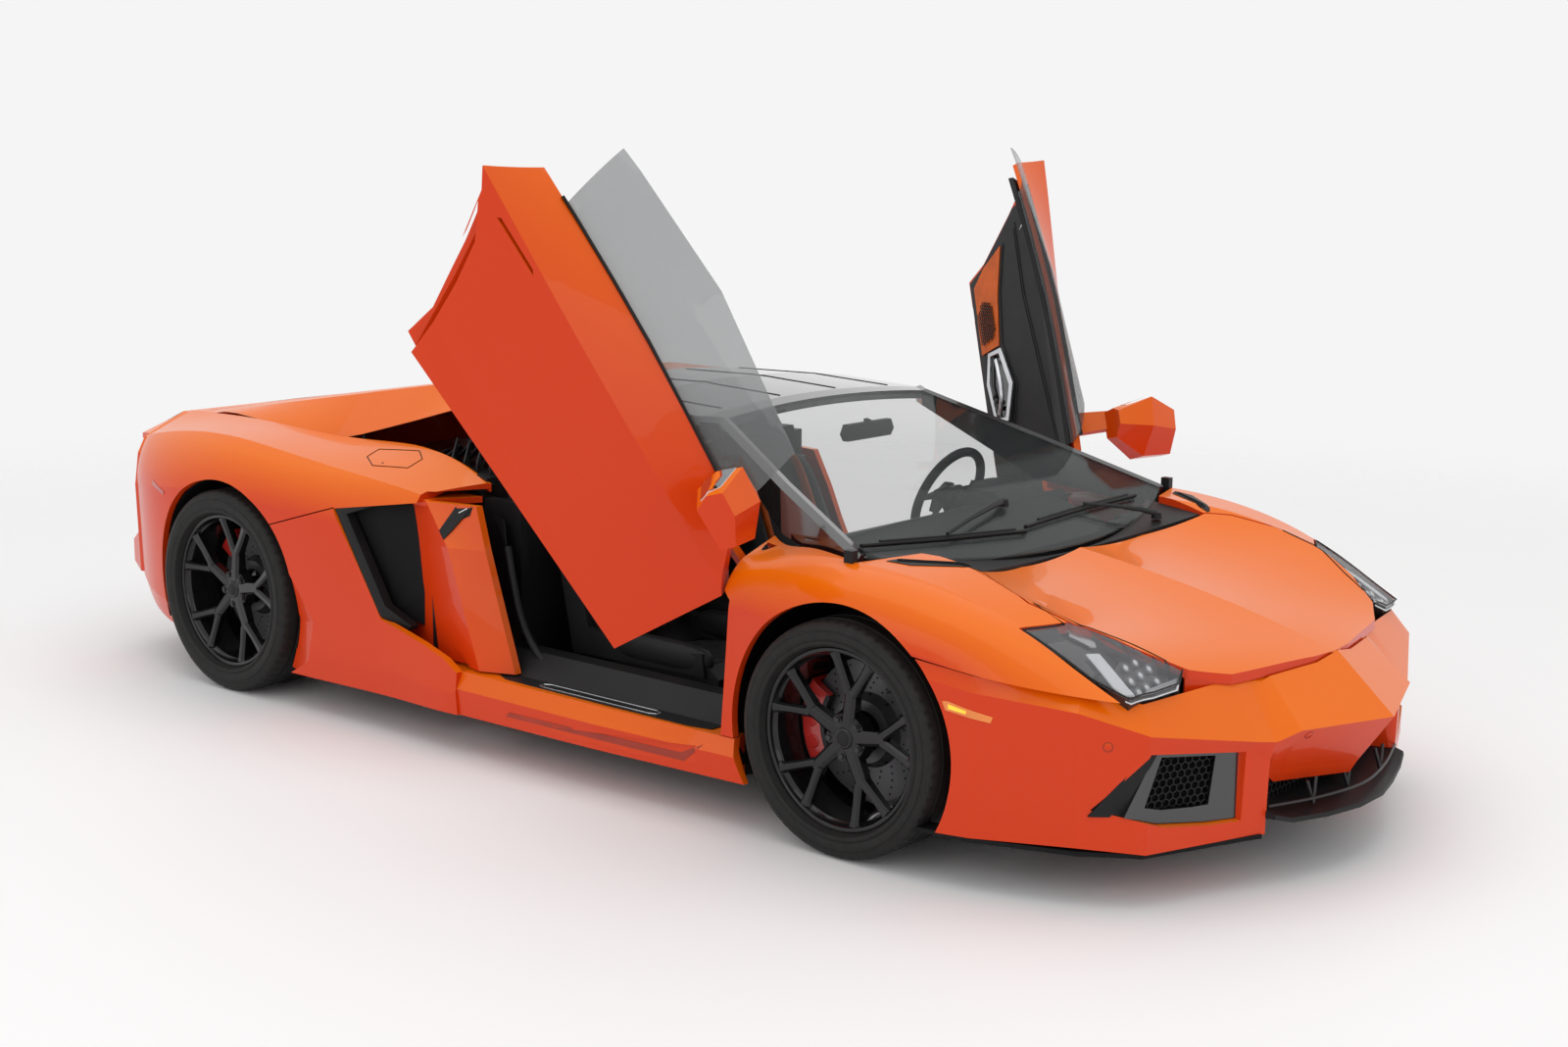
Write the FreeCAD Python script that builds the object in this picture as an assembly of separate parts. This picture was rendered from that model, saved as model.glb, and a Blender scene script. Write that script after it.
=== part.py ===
import FreeCAD, Part
import math
import os

import Sketcher
from FreeCAD import Placement, Rotation, Vector

os.makedirs("parts", exist_ok=True)
doc = FreeCAD.newDocument("supercar")

# ----------------------------------------------------------------------
# Driving sizes. Millimetres and degrees. The car faces -Y, up is +Z, the
# ground is z = 0 and the middle of its length and width is x = y = 0.
# ----------------------------------------------------------------------
SIZES = (
    # alias, value, meaning
    ("length_overall", 4780, "nose tip to tail end"),
    ("width_overall", 2030, "over the rear wings"),
    ("wheelbase", 2700, "front axle to rear axle"),
    ("front_share", 0.5528846, "how much of both overhangs lies in front"),
    ("tyre_front_radius", 330.5, "255/30 R20"),
    ("tyre_front_width", 255, "255/30 R20"),
    ("rim_front_radius", 254, "bead seat of the 20 inch rim"),
    ("wheel_front_centre", 845, "tyre centre plane to car centre"),
    ("tyre_rear_radius", 355.5, "355/25 R21"),
    ("tyre_rear_width", 355, "355/25 R21"),
    ("rim_rear_radius", 267, "bead seat of the 21 inch rim"),
    ("wheel_rear_centre", 832, "tyre centre plane to car centre"),
    ("arch_front_radius", 378, "front wheel opening"),
    ("arch_rear_radius", 392, "rear wheel opening"),
    ("panel_wall", 24, "outer panels with their frames"),
    ("door_wall", 62, "outer skin to inner frame of a door"),
    ("shut_gap", 4, "between fixed panels"),
    ("lid_gap", 6, "round doors and lids"),
    ("seat_clearance", 0.3, "between a piece and what carries it"),
    ("glass_wall", 5, "windscreen and side glass"),
    ("ground_clearance", 125, "flat floor to ground"),
    ("floor_wall", 30, "floor sandwich"),
    ("door_swing", 64.45, "how far an open door is from shut"),
    ("door_axis_tilt", 23.6, "the door hinge leans down outwards"),
    ("hinge_pin_radius", 7, "door hinge pin"),
    ("stub_radius", 34, "wheel stub axle"),
    ("stub_play", 0.05, "running clearance round a stub axle"),
    ("pin_play", 0.3, "clearance round a king pin"),
    ("disc_radius", 200, "ceramic brake discs"),
    ("disc_width", 34, "thickness of a brake disc"),
    ("running_gap", 6, "between a turning piece and a fixed one"),
    ("steering_wheel_radius", 178, "rim centre line"),
)

sheet = doc.addObject("Spreadsheet::Sheet", "sizes")
for row, (alias, value, meaning) in enumerate(SIZES, 1):
    sheet.set("A%d" % row, alias)
    sheet.set("B%d" % row, str(value))
    sheet.setAlias("B%d" % row, alias)
    sheet.set("C%d" % row, meaning)
doc.recompute()


def size(alias):
    return float(getattr(sheet, alias))


OVERHANG_FRONT = (size("length_overall") - size("wheelbase")) * size("front_share")
FRONT_AXLE = -size("length_overall") / 2 + OVERHANG_FRONT
# the tables' stations: nose tip, start of the front arch, wheelbase, end of the rear arch, tail end
DRAWN_NOSE = -1150
DRAWN_ARCH = -600
DRAWN_WHEELBASE = 2700
DRAWN_TAIL = 3100
DRAWN_END = 3630
NOSE_STRETCH = (OVERHANG_FRONT + DRAWN_ARCH) / (DRAWN_ARCH - DRAWN_NOSE)
REAR_AXLE = FRONT_AXLE + size("wheelbase")
TAIL_AT = REAR_AXLE + DRAWN_TAIL - DRAWN_WHEELBASE
TAIL_STRETCH = (size("length_overall") / 2 - TAIL_AT) / (DRAWN_END - DRAWN_TAIL)
HALF_WIDTH = size("width_overall") / 2
FRONT_HUB_Z = size("tyre_front_radius")
REAR_HUB_Z = size("tyre_rear_radius")
WALL = size("panel_wall")
GAP = size("shut_gap")
LID_GAP = size("lid_gap")
SEAT = size("seat_clearance")
GLASS = size("glass_wall")
FLOOR_Z = size("ground_clearance")
FLOOR_TOP = FLOOR_Z + size("floor_wall")
# the tables below are drawn for this half width and scale with it
DRAWN_HALF_WIDTH = 1015


def wide(x):
    """A width from a table, at this car's overall width."""
    return x * HALF_WIDTH / DRAWN_HALF_WIDTH


# further out than any panel
OUTSIDE = wide(1100)

parts = {}


# ----------------------------------------------------------------------
# Helpers
# ----------------------------------------------------------------------
def from_front(y):
    """A station drawn behind the front axle, at this car's lengths.

    Past mid-wheelbase it follows the rear axle. The nose and the tail beyond
    the arches take the length that is left.
    """
    if y < DRAWN_ARCH:
        return FRONT_AXLE + DRAWN_ARCH + (y - DRAWN_ARCH) * NOSE_STRETCH
    if y <= DRAWN_WHEELBASE / 2:
        return FRONT_AXLE + y
    if y <= DRAWN_TAIL:
        return REAR_AXLE + y - DRAWN_WHEELBASE
    return TAIL_AT + (y - DRAWN_TAIL) * TAIL_STRETCH


def keep(label, shape, placement=None):
    """One sub-part of the document, named after its file."""
    feature = doc.addObject("Part::Feature", label)
    feature.Shape = shape
    feature.Label = label
    feature.Placement = placement or Placement()
    parts[label] = feature
    return feature


def mirrored(shape):
    return shape.mirror(Vector(0, 0, 0), Vector(1, 0, 0))


def both(shape):
    """The piece and its mirror image, as two solids that don't touch."""
    return Part.makeCompound([shape, mirrored(shape)])


def solid(shape):
    """The single solid of a boolean's result."""
    if shape.ShapeType == "Solid":
        return shape
    if len(shape.Solids) == 1:
        return shape.Solids[0]
    return Part.makeCompound(shape.Solids)


def biggest(shape):
    return max(shape.Solids, key=lambda one: one.Volume)


def wire(points):
    """A closed wire: each entry is a point, or (through, end) for an arc."""
    edges = []
    start = points[0]
    last = start
    for entry in list(points[1:]) + [start]:
        if isinstance(entry, tuple):
            through, end = entry
            edges.append(Part.Arc(last, through, end).toShape())
            last = end
        else:
            edges.append(Part.makeLine(last, entry))
            last = entry
    return Part.Wire(edges)


def loft(sections, ruled=False):
    return Part.makeLoft(sections, True, ruled)


def prism(points, axis, low, high):
    """Extrude a flat outline. The points are (first, second) of the two other axes, in order."""
    if axis == "x":
        corners = [Vector(low, a, b) for a, b in points]
        way = Vector(high - low, 0, 0)
    elif axis == "y":
        corners = [Vector(a, low, b) for a, b in points]
        way = Vector(0, high - low, 0)
    else:
        corners = [Vector(a, b, low) for a, b in points]
        way = Vector(0, 0, high - low)
    return Part.Face(wire(corners)).extrude(way)


def grown(points, amount):
    """The outline moved outwards (or inwards, if negative) by an amount."""
    face = Part.Face(wire([Vector(a, b, 0) for a, b in points]))
    moved = face.makeOffset2D(amount, 2)
    ordered = moved.Wires[0].OrderedVertexes
    return [(vertex.X, vertex.Y) for vertex in ordered]


def box(low, high):
    return Part.makeBox(high[0] - low[0], high[1] - low[1], high[2] - low[2], Vector(*low))


def drum(radius, centre, axis, length):
    return Part.makeCylinder(radius, length, Vector(*centre), Vector(*axis))


def beam(points):
    """A ruled loft through four-cornered sections, each a list of corners."""
    return loft([wire(corners) for corners in points], True)


# ----------------------------------------------------------------------
# Where the wheels' parts lie, used by the pieces that clear them
# ----------------------------------------------------------------------
TYRE_BEAD_INSET = 24
HUB_FACE_INSET = 60
HUB_LENGTH = 50
HUB_RADIUS = 72
DISC_RADIUS = size("disc_radius")
DISC_WIDTH = size("disc_width")
DISC_INSET = HUB_LENGTH + 68
RUNNING_GAP = size("running_gap")
UPRIGHT_WIDTH = 42


def hub_face(axle):
    """How far out from the tyre's centre plane the wheel's bolting face lies."""
    return size("tyre_%s_width" % axle) / 2 - TYRE_BEAD_INSET - HUB_FACE_INSET


def disc_inner(axle):
    """How far out from the car's middle the brake disc's inner face lies."""
    return wide(size("wheel_%s_centre" % axle)) + hub_face(axle) - DISC_INSET


KING_PIN_X = disc_inner("front") - RUNNING_GAP - UPRIGHT_WIDTH / 2
# what a steered tyre sweeps, seen from above
TYRE_OUTER_X = wide(size("wheel_front_centre")) + size("tyre_front_width") / 2
STEER_SWEEP = math.hypot(TYRE_OUTER_X - KING_PIN_X, size("tyre_front_radius")) + 10
steer_room = drum(STEER_SWEEP, (KING_PIN_X, FRONT_AXLE, 0), (0, 0, 1), 600)
steer_room = steer_room.common(box((KING_PIN_X - 20, FRONT_AXLE, 0), (wide(936), FRONT_AXLE + 500, 600)))

# ----------------------------------------------------------------------
# Master surface of the body below the windows, as sections along the car.
# Each row starts with its distance behind the front axle, then gives the
# half-section's (half width, height) points from the middle outwards.
# ----------------------------------------------------------------------
FRONT_SECTIONS = (
    # y, spine height, field, edge, crown, mid, waist, foot
    (-1010, 556, (300, 545), (420, 535), (610, 505), (715, 465), (770, 400), (770, 120)),
    (-850, 600, (330, 588), (525, 578), (665, 553), (765, 528), (835, 485), (835, 120)),
    (-700, 640, (350, 630), (640, 652), (765, 612), (850, 562), (897, 505), (897, 120)),
    (-550, 674, (360, 664), (685, 706), (800, 678), (885, 625), (936, 545), (936, 120)),
    (-400, 703, (360, 694), (695, 747), (820, 730), (912, 680), (955, 590), (955, 120)),
    (-240, 730, (350, 724), (660, 785), (828, 770), (928, 713), (966, 620), (966, 120)),
    (-80, 752, (340, 750), (625, 802), (830, 792), (934, 734), (970, 640), (970, 120)),
    (90, 772, (340, 772), (625, 812), (830, 800), (934, 740), (970, 640), (970, 120)),
    (260, 790, (340, 790), (650, 815), (834, 788), (930, 722), (962, 630), (963, 120)),
    (440, 800, (340, 800), (700, 812), (842, 760), (908, 698), (942, 615), (957, 120)),
)
DOOR_SECTIONS = (
    # y, inner edge, belt crease, skirt crease, foot
    (360, (856, 776), (927, 660), (949, 306), (953, 240)),
    (620, (842, 806), (922, 683), (943, 313), (952, 240)),
    (1100, (798, 845), (916, 722), (934, 345), (949, 240)),
    (1500, (748, 850), (909, 762), (931, 396), (946, 240)),
    (1800, (706, 842), (900, 792), (928, 430), (944, 240)),
)
REAR_SECTIONS = (
    # y, inner edge, deck crease, mid, waist, sill crease, foot
    (1440, (700, 838), (905, 764), (930, 690), (950, 580), (985, 215), (976, 130)),
    (1760, (690, 852), (900, 794), (936, 735), (958, 620), (987, 215), (979, 128)),
    (2060, (652, 893), (900, 824), (948, 767), (977, 655), (989, 215), (981, 126)),
    (2400, (640, 886), (900, 856), (962, 800), (1001, 690), (997, 215), (990, 125)),
    (2720, (640, 893), (900, 884), (969, 822), (1015, 705), (1003, 240), (990, 140)),
    (3000, (640, 902), (888, 878), (954, 812), (1004, 690), (990, 260), (970, 170)),
    (3240, (632, 900), (862, 846), (912, 782), (945, 662), (930, 280), (905, 200)),
    (3430, (620, 886), (796, 806), (826, 748), (846, 630), (838, 300), (815, 230)),
)


def at(point, y, inset=0.0):
    """A table point at station y, moved in and down by an inset."""
    x, z = point
    return Vector(wide(x) - inset, y, z - inset)


def front_section(row, inset):
    y, spine, field, edge, crown, mid, waist, foot = row
    y = from_front(y)
    points = [
        Vector(0, y, spine - inset),
        (at(field, y, inset), at(edge, y, inset)),
        at(crown, y, inset),
        (at(mid, y, inset), at(waist, y, inset)),
        at(foot, y, inset),
    ]
    return wire(points + [Vector(0, y, foot[1] - inset)])


def door_sheet(start, end, lip_in, lip_out):
    """The loft between two depths below the door's outer face; lips give both along the top edge."""
    sections = []
    for row in DOOR_SECTIONS:
        y = from_front(row[0])
        edge, crease, skirt, foot = row[1:]
        outer = [at(edge, y) - Vector(lip_in, 0, lip_in)]
        outer += [at(point, y) - Vector(start, 0, 0) for point in (crease, skirt, foot)]
        inner = [at(point, y) - Vector(end, 0, 0) for point in (foot, skirt, crease)]
        inner += [at(edge, y) - Vector(lip_out, 0, lip_out)]
        sections.append(wire(outer + inner))
    return loft(sections)


def rear_section(row, inset):
    y, inner, crease, mid, waist, sill, foot = row
    y = from_front(y)
    points = [
        Vector(0, y, inner[1] - inset),
        at(inner, y, inset),
        at(crease, y, inset),
        (at(mid, y, inset), at(waist, y, inset)),
        at(sill, y, inset),
        at(foot, y, inset),
    ]
    return wire(points + [Vector(0, y, foot[1] - inset)])


def body(section, rows, inset=0.0):
    """The solid half body that some sections bound."""
    return loft([section(row, inset) for row in rows])


front_outer = body(front_section, FRONT_SECTIONS)
front_skin = front_outer.cut(body(front_section, FRONT_SECTIONS, WALL))
front_space = front_outer.cut(body(front_section, FRONT_SECTIONS, WALL + LID_GAP))
rear_skin = body(rear_section, REAR_SECTIONS).cut(body(rear_section, REAR_SECTIONS, WALL))
DOOR_WALL = size("door_wall")
TRIM_WALL = 22
DOOR_LIP = 16
GLASS_SLOT = GLASS + 3
door_skin = door_sheet(0, DOOR_WALL, 0, DOOR_LIP)
door_lining = door_sheet(DOOR_WALL, DOOR_WALL + TRIM_WALL, DOOR_LIP + GLASS_SLOT, DOOR_LIP + GLASS_SLOT + 12)

# ----------------------------------------------------------------------
# Outlines that split the body into panels
# ----------------------------------------------------------------------
def plan(points):
    """Outline in plan from (half width, distance behind the front axle)."""
    return [(wide(x), from_front(y)) for x, y in points]


def side(points):
    """Outline in side view from (distance behind the front axle, height)."""
    return [(from_front(y), z) for y, z in points]


BONNET_HALF = ((0, -972), (100, -962), (425, -888), (540, -826), (622, -718), (690, -570),
               (703, -440), (652, -290), (606, -225), (330, -165), (0, -150))
LAMP_HALF = ((548, -822), (612, -850), (800, -806), (816, -650), (824, -490), (690, -560), (600, -700))
DOOR_SIDE = ((425, 274), (402, 654), (450, 685), (512, 742), (560, 800), (575, 860), (1120, 910), (1640, 900),
             (1760, 850), (1742, 786), (1692, 744), (1610, 600), (1512, 398), (1497, 283))
# the rear end of a shut door, seen from above
DOOR_PLAN = ((500, 0), (1100, 0), (1100, 1846), (905, 1745), (722, 1651), (500, 1537))
INTAKE_LINE = ((1668, 332), (1872, 379), (2107, 715))
SKIRT_SIDE = ((1500, 20), (1500, 266)) + ((1560, 300),) + INTAKE_LINE + ((2480, 606), (2480, 20))
MOUTH_SIDE = ((1300, 240), (1500, 270), (1560, 304)) + INTAKE_LINE + ((1752, 768), (1752, 800), (1300, 800))
BUMPER_SPLIT = ((-1400, 472), (-800, 541), (-240, 607), (-60, 628), (-60, -50), (-1400, -50))

# the opening ahead of the doors for the cowl, the windscreen and its posts
COWL_SPACE = ((-10, -260), (606, -260), (606, -214), (636, -40), (836, 28), (694, 470), (-10, 470))

bonnet_plan = plan(BONNET_HALF) + [(-x, y) for x, y in reversed(plan(BONNET_HALF[1:-1]))]
door_side = side(DOOR_SIDE)
door_plan = plan(DOOR_PLAN)

bonnet_cut = prism(grown(bonnet_plan, LID_GAP), "z", 300, 1000)
lamp_region = prism(plan(LAMP_HALF), "z", 300, 1000)
lamp_cut = prism(grown(plan(LAMP_HALF), SEAT), "z", 300, 1000)
door_region = prism(door_side, "x", 560, OUTSIDE).common(prism(door_plan, "z", 100, 1100))
door_cut = prism(grown(door_side, LID_GAP), "x", 300, OUTSIDE)
door_cut = door_cut.common(prism(grown(door_plan, LID_GAP), "z", 100, 1100))
bumper_cut = prism(grown(side(BUMPER_SPLIT), GAP), "x", -1200, 1200)

front_arch = drum(size("arch_front_radius"), (wide(520), FRONT_AXLE, FRONT_HUB_Z), (1, 0, 0), 600)
rear_arch = drum(size("arch_rear_radius"), (wide(560), REAR_AXLE, REAR_HUB_Z), (1, 0, 0), 600)

# door hinge, on the left: its axis leans down outwards, square to the car's length
TILT = math.radians(size("door_axis_tilt"))
HINGE_AXIS = Vector(math.cos(TILT), 0, -math.sin(TILT))
HINGE_POINT = Vector(wide(850), from_front(411), 721)


def on_hinge(radius, start, length):
    """A round piece on the door hinge's axis, from a distance along it."""
    base = HINGE_POINT + HINGE_AXIS * start
    return Part.makeCylinder(radius, length, base, HINGE_AXIS)


def by_hinge(low, high):
    """A block square to the hinge: along its axis, rearwards, and up."""
    block = box(low, high)
    tilt = Rotation(Vector(0, 1, 0), size("door_axis_tilt"))
    block.Placement = Placement(HINGE_POINT, tilt).multiply(block.Placement)
    return block


# ----------------------------------------------------------------------
# Bonnet, front wings, headlamps
# ----------------------------------------------------------------------
def make_bonnet():
    half = front_skin.common(prism(bonnet_plan, "z", 300, 1000))
    whole = half.fuse(mirrored(half)).removeSplitter()
    keep("bonnet", solid(whole))


def make_front_wings():
    wing = front_skin.common(box((0, from_front(-860), SILL_TOP + GAP), (1100, from_front(430), 1000)))
    cowl_space = prism(plan(COWL_SPACE), "z", 0, 1000)
    hinge_pocket = on_hinge(24, -124, 88)
    for tool in (bonnet_cut, lamp_cut, door_cut, bumper_cut, front_arch, cowl_space, hinge_pocket):
        wing = wing.cut(tool)
    wing = biggest(wing)
    keep("front_wings", both(wing))
    return wing


def make_headlamps():
    lens = front_skin.common(lamp_region).cut(bumper_cut).cut(bonnet_cut)
    keep("headlamp_lenses", both(biggest(lens)))


# ----------------------------------------------------------------------
# Front bumper: a faceted band that follows the plan of the nose
# ----------------------------------------------------------------------
# Each station on the plan: where the crease runs, then how far in and how
# high the top edge, the crease, the tuck under it and the foot are.
BUMPER_STATIONS = (
    # x, y, top in, top z, crease z, tuck in, tuck z, foot in, foot z
    (0, -1150, 172, 568, 413, 98, 271, 118, 236),
    (330, -1047, 146, 558, 425, 74, 304, 96, 262),
    (385, -1017, 138, 553, 405, 40, 330, 60, 296),
    (400, -1009, 134, 551, 402, 20, 345, 26, 146),
    (455, -985, 118, 548, 410, 16, 380, 24, 150),
    (757, -851, 56, 532, 462, 8, 425, 8, 150),
    (866, -702, 34, 552, 518, 14, 251, 20, 160),
    (948, -430, 8, 583, 540, 4, 245, 10, 150),
    (966, -250, 4, 604, 562, 2, 245, 8, 142),
)
BUMPER_WALL = 60
LIP_DEPTH = 150


def bumper_section(row, ahead, behind):
    x, y, top_in, top_z, crease_z, tuck_in, tuck_z, foot_in, foot_z = row
    # inward way in plan: square to the run between the neighbouring stations
    along = Vector(ahead[0] - behind[0], ahead[1] - behind[1], 0).normalize()
    inward = Vector(-along.y, along.x, 0)
    if inward.y < 0:
        inward = -inward
    edge = Vector(wide(x), from_front(y), 0)
    depth = LIP_DEPTH if 390 < x < 800 else BUMPER_WALL

    def spot(inset, z):
        return edge + inward * inset + Vector(0, 0, z)

    outer = [spot(top_in, top_z), spot(0, crease_z), spot(tuck_in, tuck_z), spot(foot_in, foot_z)]
    inner = [spot(foot_in + depth, foot_z), spot(tuck_in + depth, tuck_z),
             spot(BUMPER_WALL, crease_z), spot(top_in + 34, top_z - 44)]
    return wire(outer + inner)


def bumper_half():
    rows = BUMPER_STATIONS
    sections = []
    for index, row in enumerate(rows):
        ahead = rows[min(index + 1, len(rows) - 1)]
        behind = rows[index - 1] if index else (-rows[1][0], rows[1][1])
        sections.append(bumper_section(row, ahead, behind))
    half = loft(sections, True).cut(front_arch).cut(bonnet_cut.common(front_space))
    # the side intake: its floor rises inwards from the lip
    mouth = ((468, 168), (560, 166), (700, 176), (846, 238), (752, 425), (468, 388))
    throat = ((468, 240), (560, 238), (700, 246), (830, 268), (745, 405), (468, 372))
    pocket = beam([[Vector(wide(x), from_front(y), z) for x, z in outline]
                   for y, outline in ((-1160, mouth), (-640, throat))])
    return biggest(half.cut(pocket))


def make_front_bumper():
    half = bumper_half()
    whole = half.fuse(mirrored(half))
    keep("front_bumper", solid(whole))
    return solid(whole)


def fitted(piece, *carriers):
    """The piece trimmed to lie face to face with what carries it."""
    for carrier in carriers:
        piece = piece.cut(carrier)
    return biggest(piece)


def make_front_grilles(bumper):
    """The side meshes with their vane plates, the middle slot's mesh and the splitter below it."""
    face_plan = ((440, -884), (742, -776), (850, -704), (850, -692), (742, -764), (440, -872))
    face = prism(plan(face_plan), "z", 150, 440)
    vane = beam([[Vector(wide(x), from_front(y), z) for x, y in corners] for z, corners in (
        (236, ((846, -742), (764, -778), (756, -762), (850, -696))),
        (426, ((756, -846), (738, -812), (730, -770), (800, -734))))])
    side_mesh = fitted(solid(face.fuse(vane)), bumper)
    front_edge = ((-396, -1018), (-200, -1072), (-70, -1102), (70, -1102), (200, -1072), (396, -1018))
    blade = prism(plan(front_edge + ((396, -860), (-396, -860))), "z", 164, 188)
    ends = [box((x, from_front(-1000), 164), (x + 24, from_front(-860), 300)) for x in (-396, 372)]
    slot = box((-376, from_front(-930), 200), (376, from_front(-918), 300))
    posts = [box((x - 8, from_front(-930), 164), (x + 8, from_front(-918), 240)) for x in (-220, 0, 220)]
    middle = fitted(solid(blade.fuse(ends + [slot] + posts)), bumper)
    keep("front_grilles", Part.makeCompound([side_mesh, mirrored(side_mesh), middle]))


# ----------------------------------------------------------------------
# Doors, modelled shut on the left and stored open on both sides
# ----------------------------------------------------------------------
def keep_pair(label, shape):
    swing = Rotation(HINGE_AXIS, size("door_swing"))
    keep(label + "_left", shape, Placement(Vector(), swing, HINGE_POINT))
    other_axis = Vector(HINGE_AXIS.x, -HINGE_AXIS.y, -HINGE_AXIS.z)
    other_point = Vector(-HINGE_POINT.x, HINGE_POINT.y, HINGE_POINT.z)
    other_swing = Rotation(other_axis, size("door_swing"))
    keep(label + "_right", mirrored(shape), Placement(Vector(), other_swing, other_point))


POST_LEVELS = (
    # z, then in plan: inner edge, crease, back end
    (272, (892, 1330), (938, 1445), (800, 2060)),
    (520, (872, 1440), (926, 1552), (800, 2060)),
    (640, (866, 1488), (915, 1610), (800, 2060)),
    (772, (850, 1545), (893, 1735), (800, 2060)),
)
POST_WALL = 26


def door_post(spread=0.0):
    """The painted post behind the door, which leads the air into the side intake."""
    levels = []
    for z, inner, crease, back in POST_LEVELS:
        z += spread if z == POST_LEVELS[-1][0] else -spread if z == POST_LEVELS[0][0] else 0
        y_inner, y_crease, y_back = (from_front(point[1]) for point in (inner, crease, back))
        x_inner, x_crease, x_back = (wide(point[0]) for point in (inner, crease, back))
        depth = POST_WALL + spread
        levels.append([Vector(x_inner + spread, y_inner - spread, z),
                       Vector(x_crease + spread, y_crease - spread, z),
                       Vector(x_back + spread, y_back, z), Vector(x_back - depth, y_back, z),
                       Vector(x_crease - depth, y_crease, z), Vector(x_inner - depth, y_inner - spread, z)])
    return beam(levels)


def make_door_shell():
    shell = biggest(door_skin.common(door_region))
    shell = biggest(shell.cut(door_post(LID_GAP)))
    slot = beam([[Vector(wide(930), from_front(y), z), Vector(wide(930), from_front(y + tail), z + 8),
                  Vector(wide(892), from_front(y + tail), z + 8), Vector(wide(892), from_front(y), z)]
                 for y, tail, z in ((1424, 186, 728), (1440, 160, 738))])
    shell = biggest(shell.cut(slot))
    # a cranked arm from the hinge's eye, so that the open door clears the wing
    eye = on_hinge(15, -70, 26)
    crank = by_hinge((-70, -10, -78), (-44, 10, 0))
    arm = by_hinge((-70, -10, -78), (-44, 150, -54))
    foot = by_hinge((-70, 120, -78), (52, 150, -54))
    hinge = eye.fuse([crank, arm, foot]).cut(on_hinge(size("hinge_pin_radius") + size("stub_play"), -90, 60))
    return solid(shell.fuse(hinge))


def make_door_lining(shell):
    space = door_lining.common(prism(grown(door_side, -34), "x", 560, OUTSIDE))
    space = space.common(box((500, from_front(470), 200), (1100, from_front(1600), 900)))
    space = space.cut(by_hinge((-90, 100, -90), (60, 164, -40)))
    return fitted(space.cut(door_post(LID_GAP)), shell)


GLASS_SECTIONS = (
    # at each of the door's stations: middle, top
    ((822, 850), (784, 916)),
    ((780, 900), (722, 992)),
    ((716, 952), (634, 1040)),
    ((676, 938), (580, 1014)),
    ((648, 910), (545, 980)),
)
GLASS_SIDE = ((585, 700), (585, 860), (640, 1100), (1500, 1100), (1578, 1006), (1540, 846), (1540, 700))
GLASS_DROP = 22


def make_door_glass(*carriers):
    """Frameless side glass, which stands in the slot between the shell's lip and the lining."""
    sections = []
    for door_row, (middle, top) in zip(DOOR_SECTIONS, GLASS_SECTIONS):
        y = from_front(door_row[0])
        edge = at(door_row[1], y)
        foot = edge - Vector(DOOR_LIP, 0, GLASS_DROP)
        outer = [foot, edge - Vector(DOOR_LIP, 0, DOOR_LIP), at(middle, y), at(top, y)]
        inner = [point - Vector(GLASS, 0, GLASS / 3) for point in reversed(outer)]
        sections.append(wire([outer[0], outer[1], (outer[2], outer[3]),
                              inner[0], (inner[1], inner[2]), inner[3]]))
    glass = loft(sections, True)
    return fitted(glass.common(prism(side(GLASS_SIDE), "x", 400, 1000)), *carriers)


def make_door_mirror():
    foot = Vector(wide(868), from_front(655), 782)

    def corners(x, rows):
        return [foot + Vector(x, y, z) for y, z in rows]

    stalk = beam([corners(-8, ((-36, -10), (40, -10), (40, 22), (-36, 22))),
                  corners(84, ((-38, 74), (26, 74), (26, 106), (-38, 106)))])
    head = beam([corners(54, ((-70, 70), (26, 72), (20, 124), (0, 150), (-50, 148), (-88, 118))),
                 corners(160, ((-124, 50), (52, 58), (68, 136), (42, 210), (-62, 196), (-142, 118))),
                 corners(280, ((-104, 78), (20, 86), (40, 136), (26, 180), (-44, 172), (-116, 122)))])
    return solid(stalk.fuse(head))


def make_doors():
    shell = make_door_shell()
    lining = make_door_lining(shell)
    mirror = fitted(make_door_mirror(), shell)
    keep_pair("door_shell", shell)
    keep_pair("door_lining", lining)
    keep_pair("door_glass", make_door_glass(shell, lining))
    keep_pair("door_mirror", mirror)


# ----------------------------------------------------------------------
# Windscreen, frame, roof
# ----------------------------------------------------------------------
# arches across the car: y and z in the middle, then x, y and z at the end
SCREEN_ARCHES = (
    (-135, 752, 790, 45, 806),
    (330, 945, 655, 430, 947),
    (820, 1107, 505, 800, 1084),
)
POST_FEET = (738, 806, 1036)
HEADER_ARCHES = ((820 + SEAT, 1108, 508, 800 + SEAT, 1085), (875, 1118, 540, 850, 1090))
ROOF_ARCHES = (
    (875 + SEAT, 1118, 540, 850 + SEAT, 1090),
    (1220, 1136, 566, 1200, 1102),
    (1220 + GAP, 1136, 566, 1200 + GAP, 1102),
    (1590, 1130, 560, 1580, 1094),
)
HOOP_ARCHES = ((1590 + SEAT, 1129, 560, 1580 + SEAT, 1093), (1652, 1120, 552, 1642, 1082))
ROOF_DEPTH = 28


def canopy(rows, depth):
    """A sheet over arches across the car, made solid by a depth straight down."""
    arches = []
    for y_mid, z_mid, x_end, y_end, z_end in rows:
        top = Vector(0, from_front(y_mid), z_mid)
        end = Vector(wide(x_end), from_front(y_end), z_end)
        start = Vector(-end.x, end.y, end.z)
        arches.append(Part.Wire([Part.Arc(start, top, end).toShape()]))
    sheet_face = Part.makeLoft(arches, False, len(rows) == 2).Faces[0]
    return sheet_face.extrude(Vector(0, 0, -depth))


def make_windscreen():
    screen = canopy(SCREEN_ARCHES, GLASS / math.cos(math.radians(25)))
    keep("windscreen", screen)
    return screen


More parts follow.
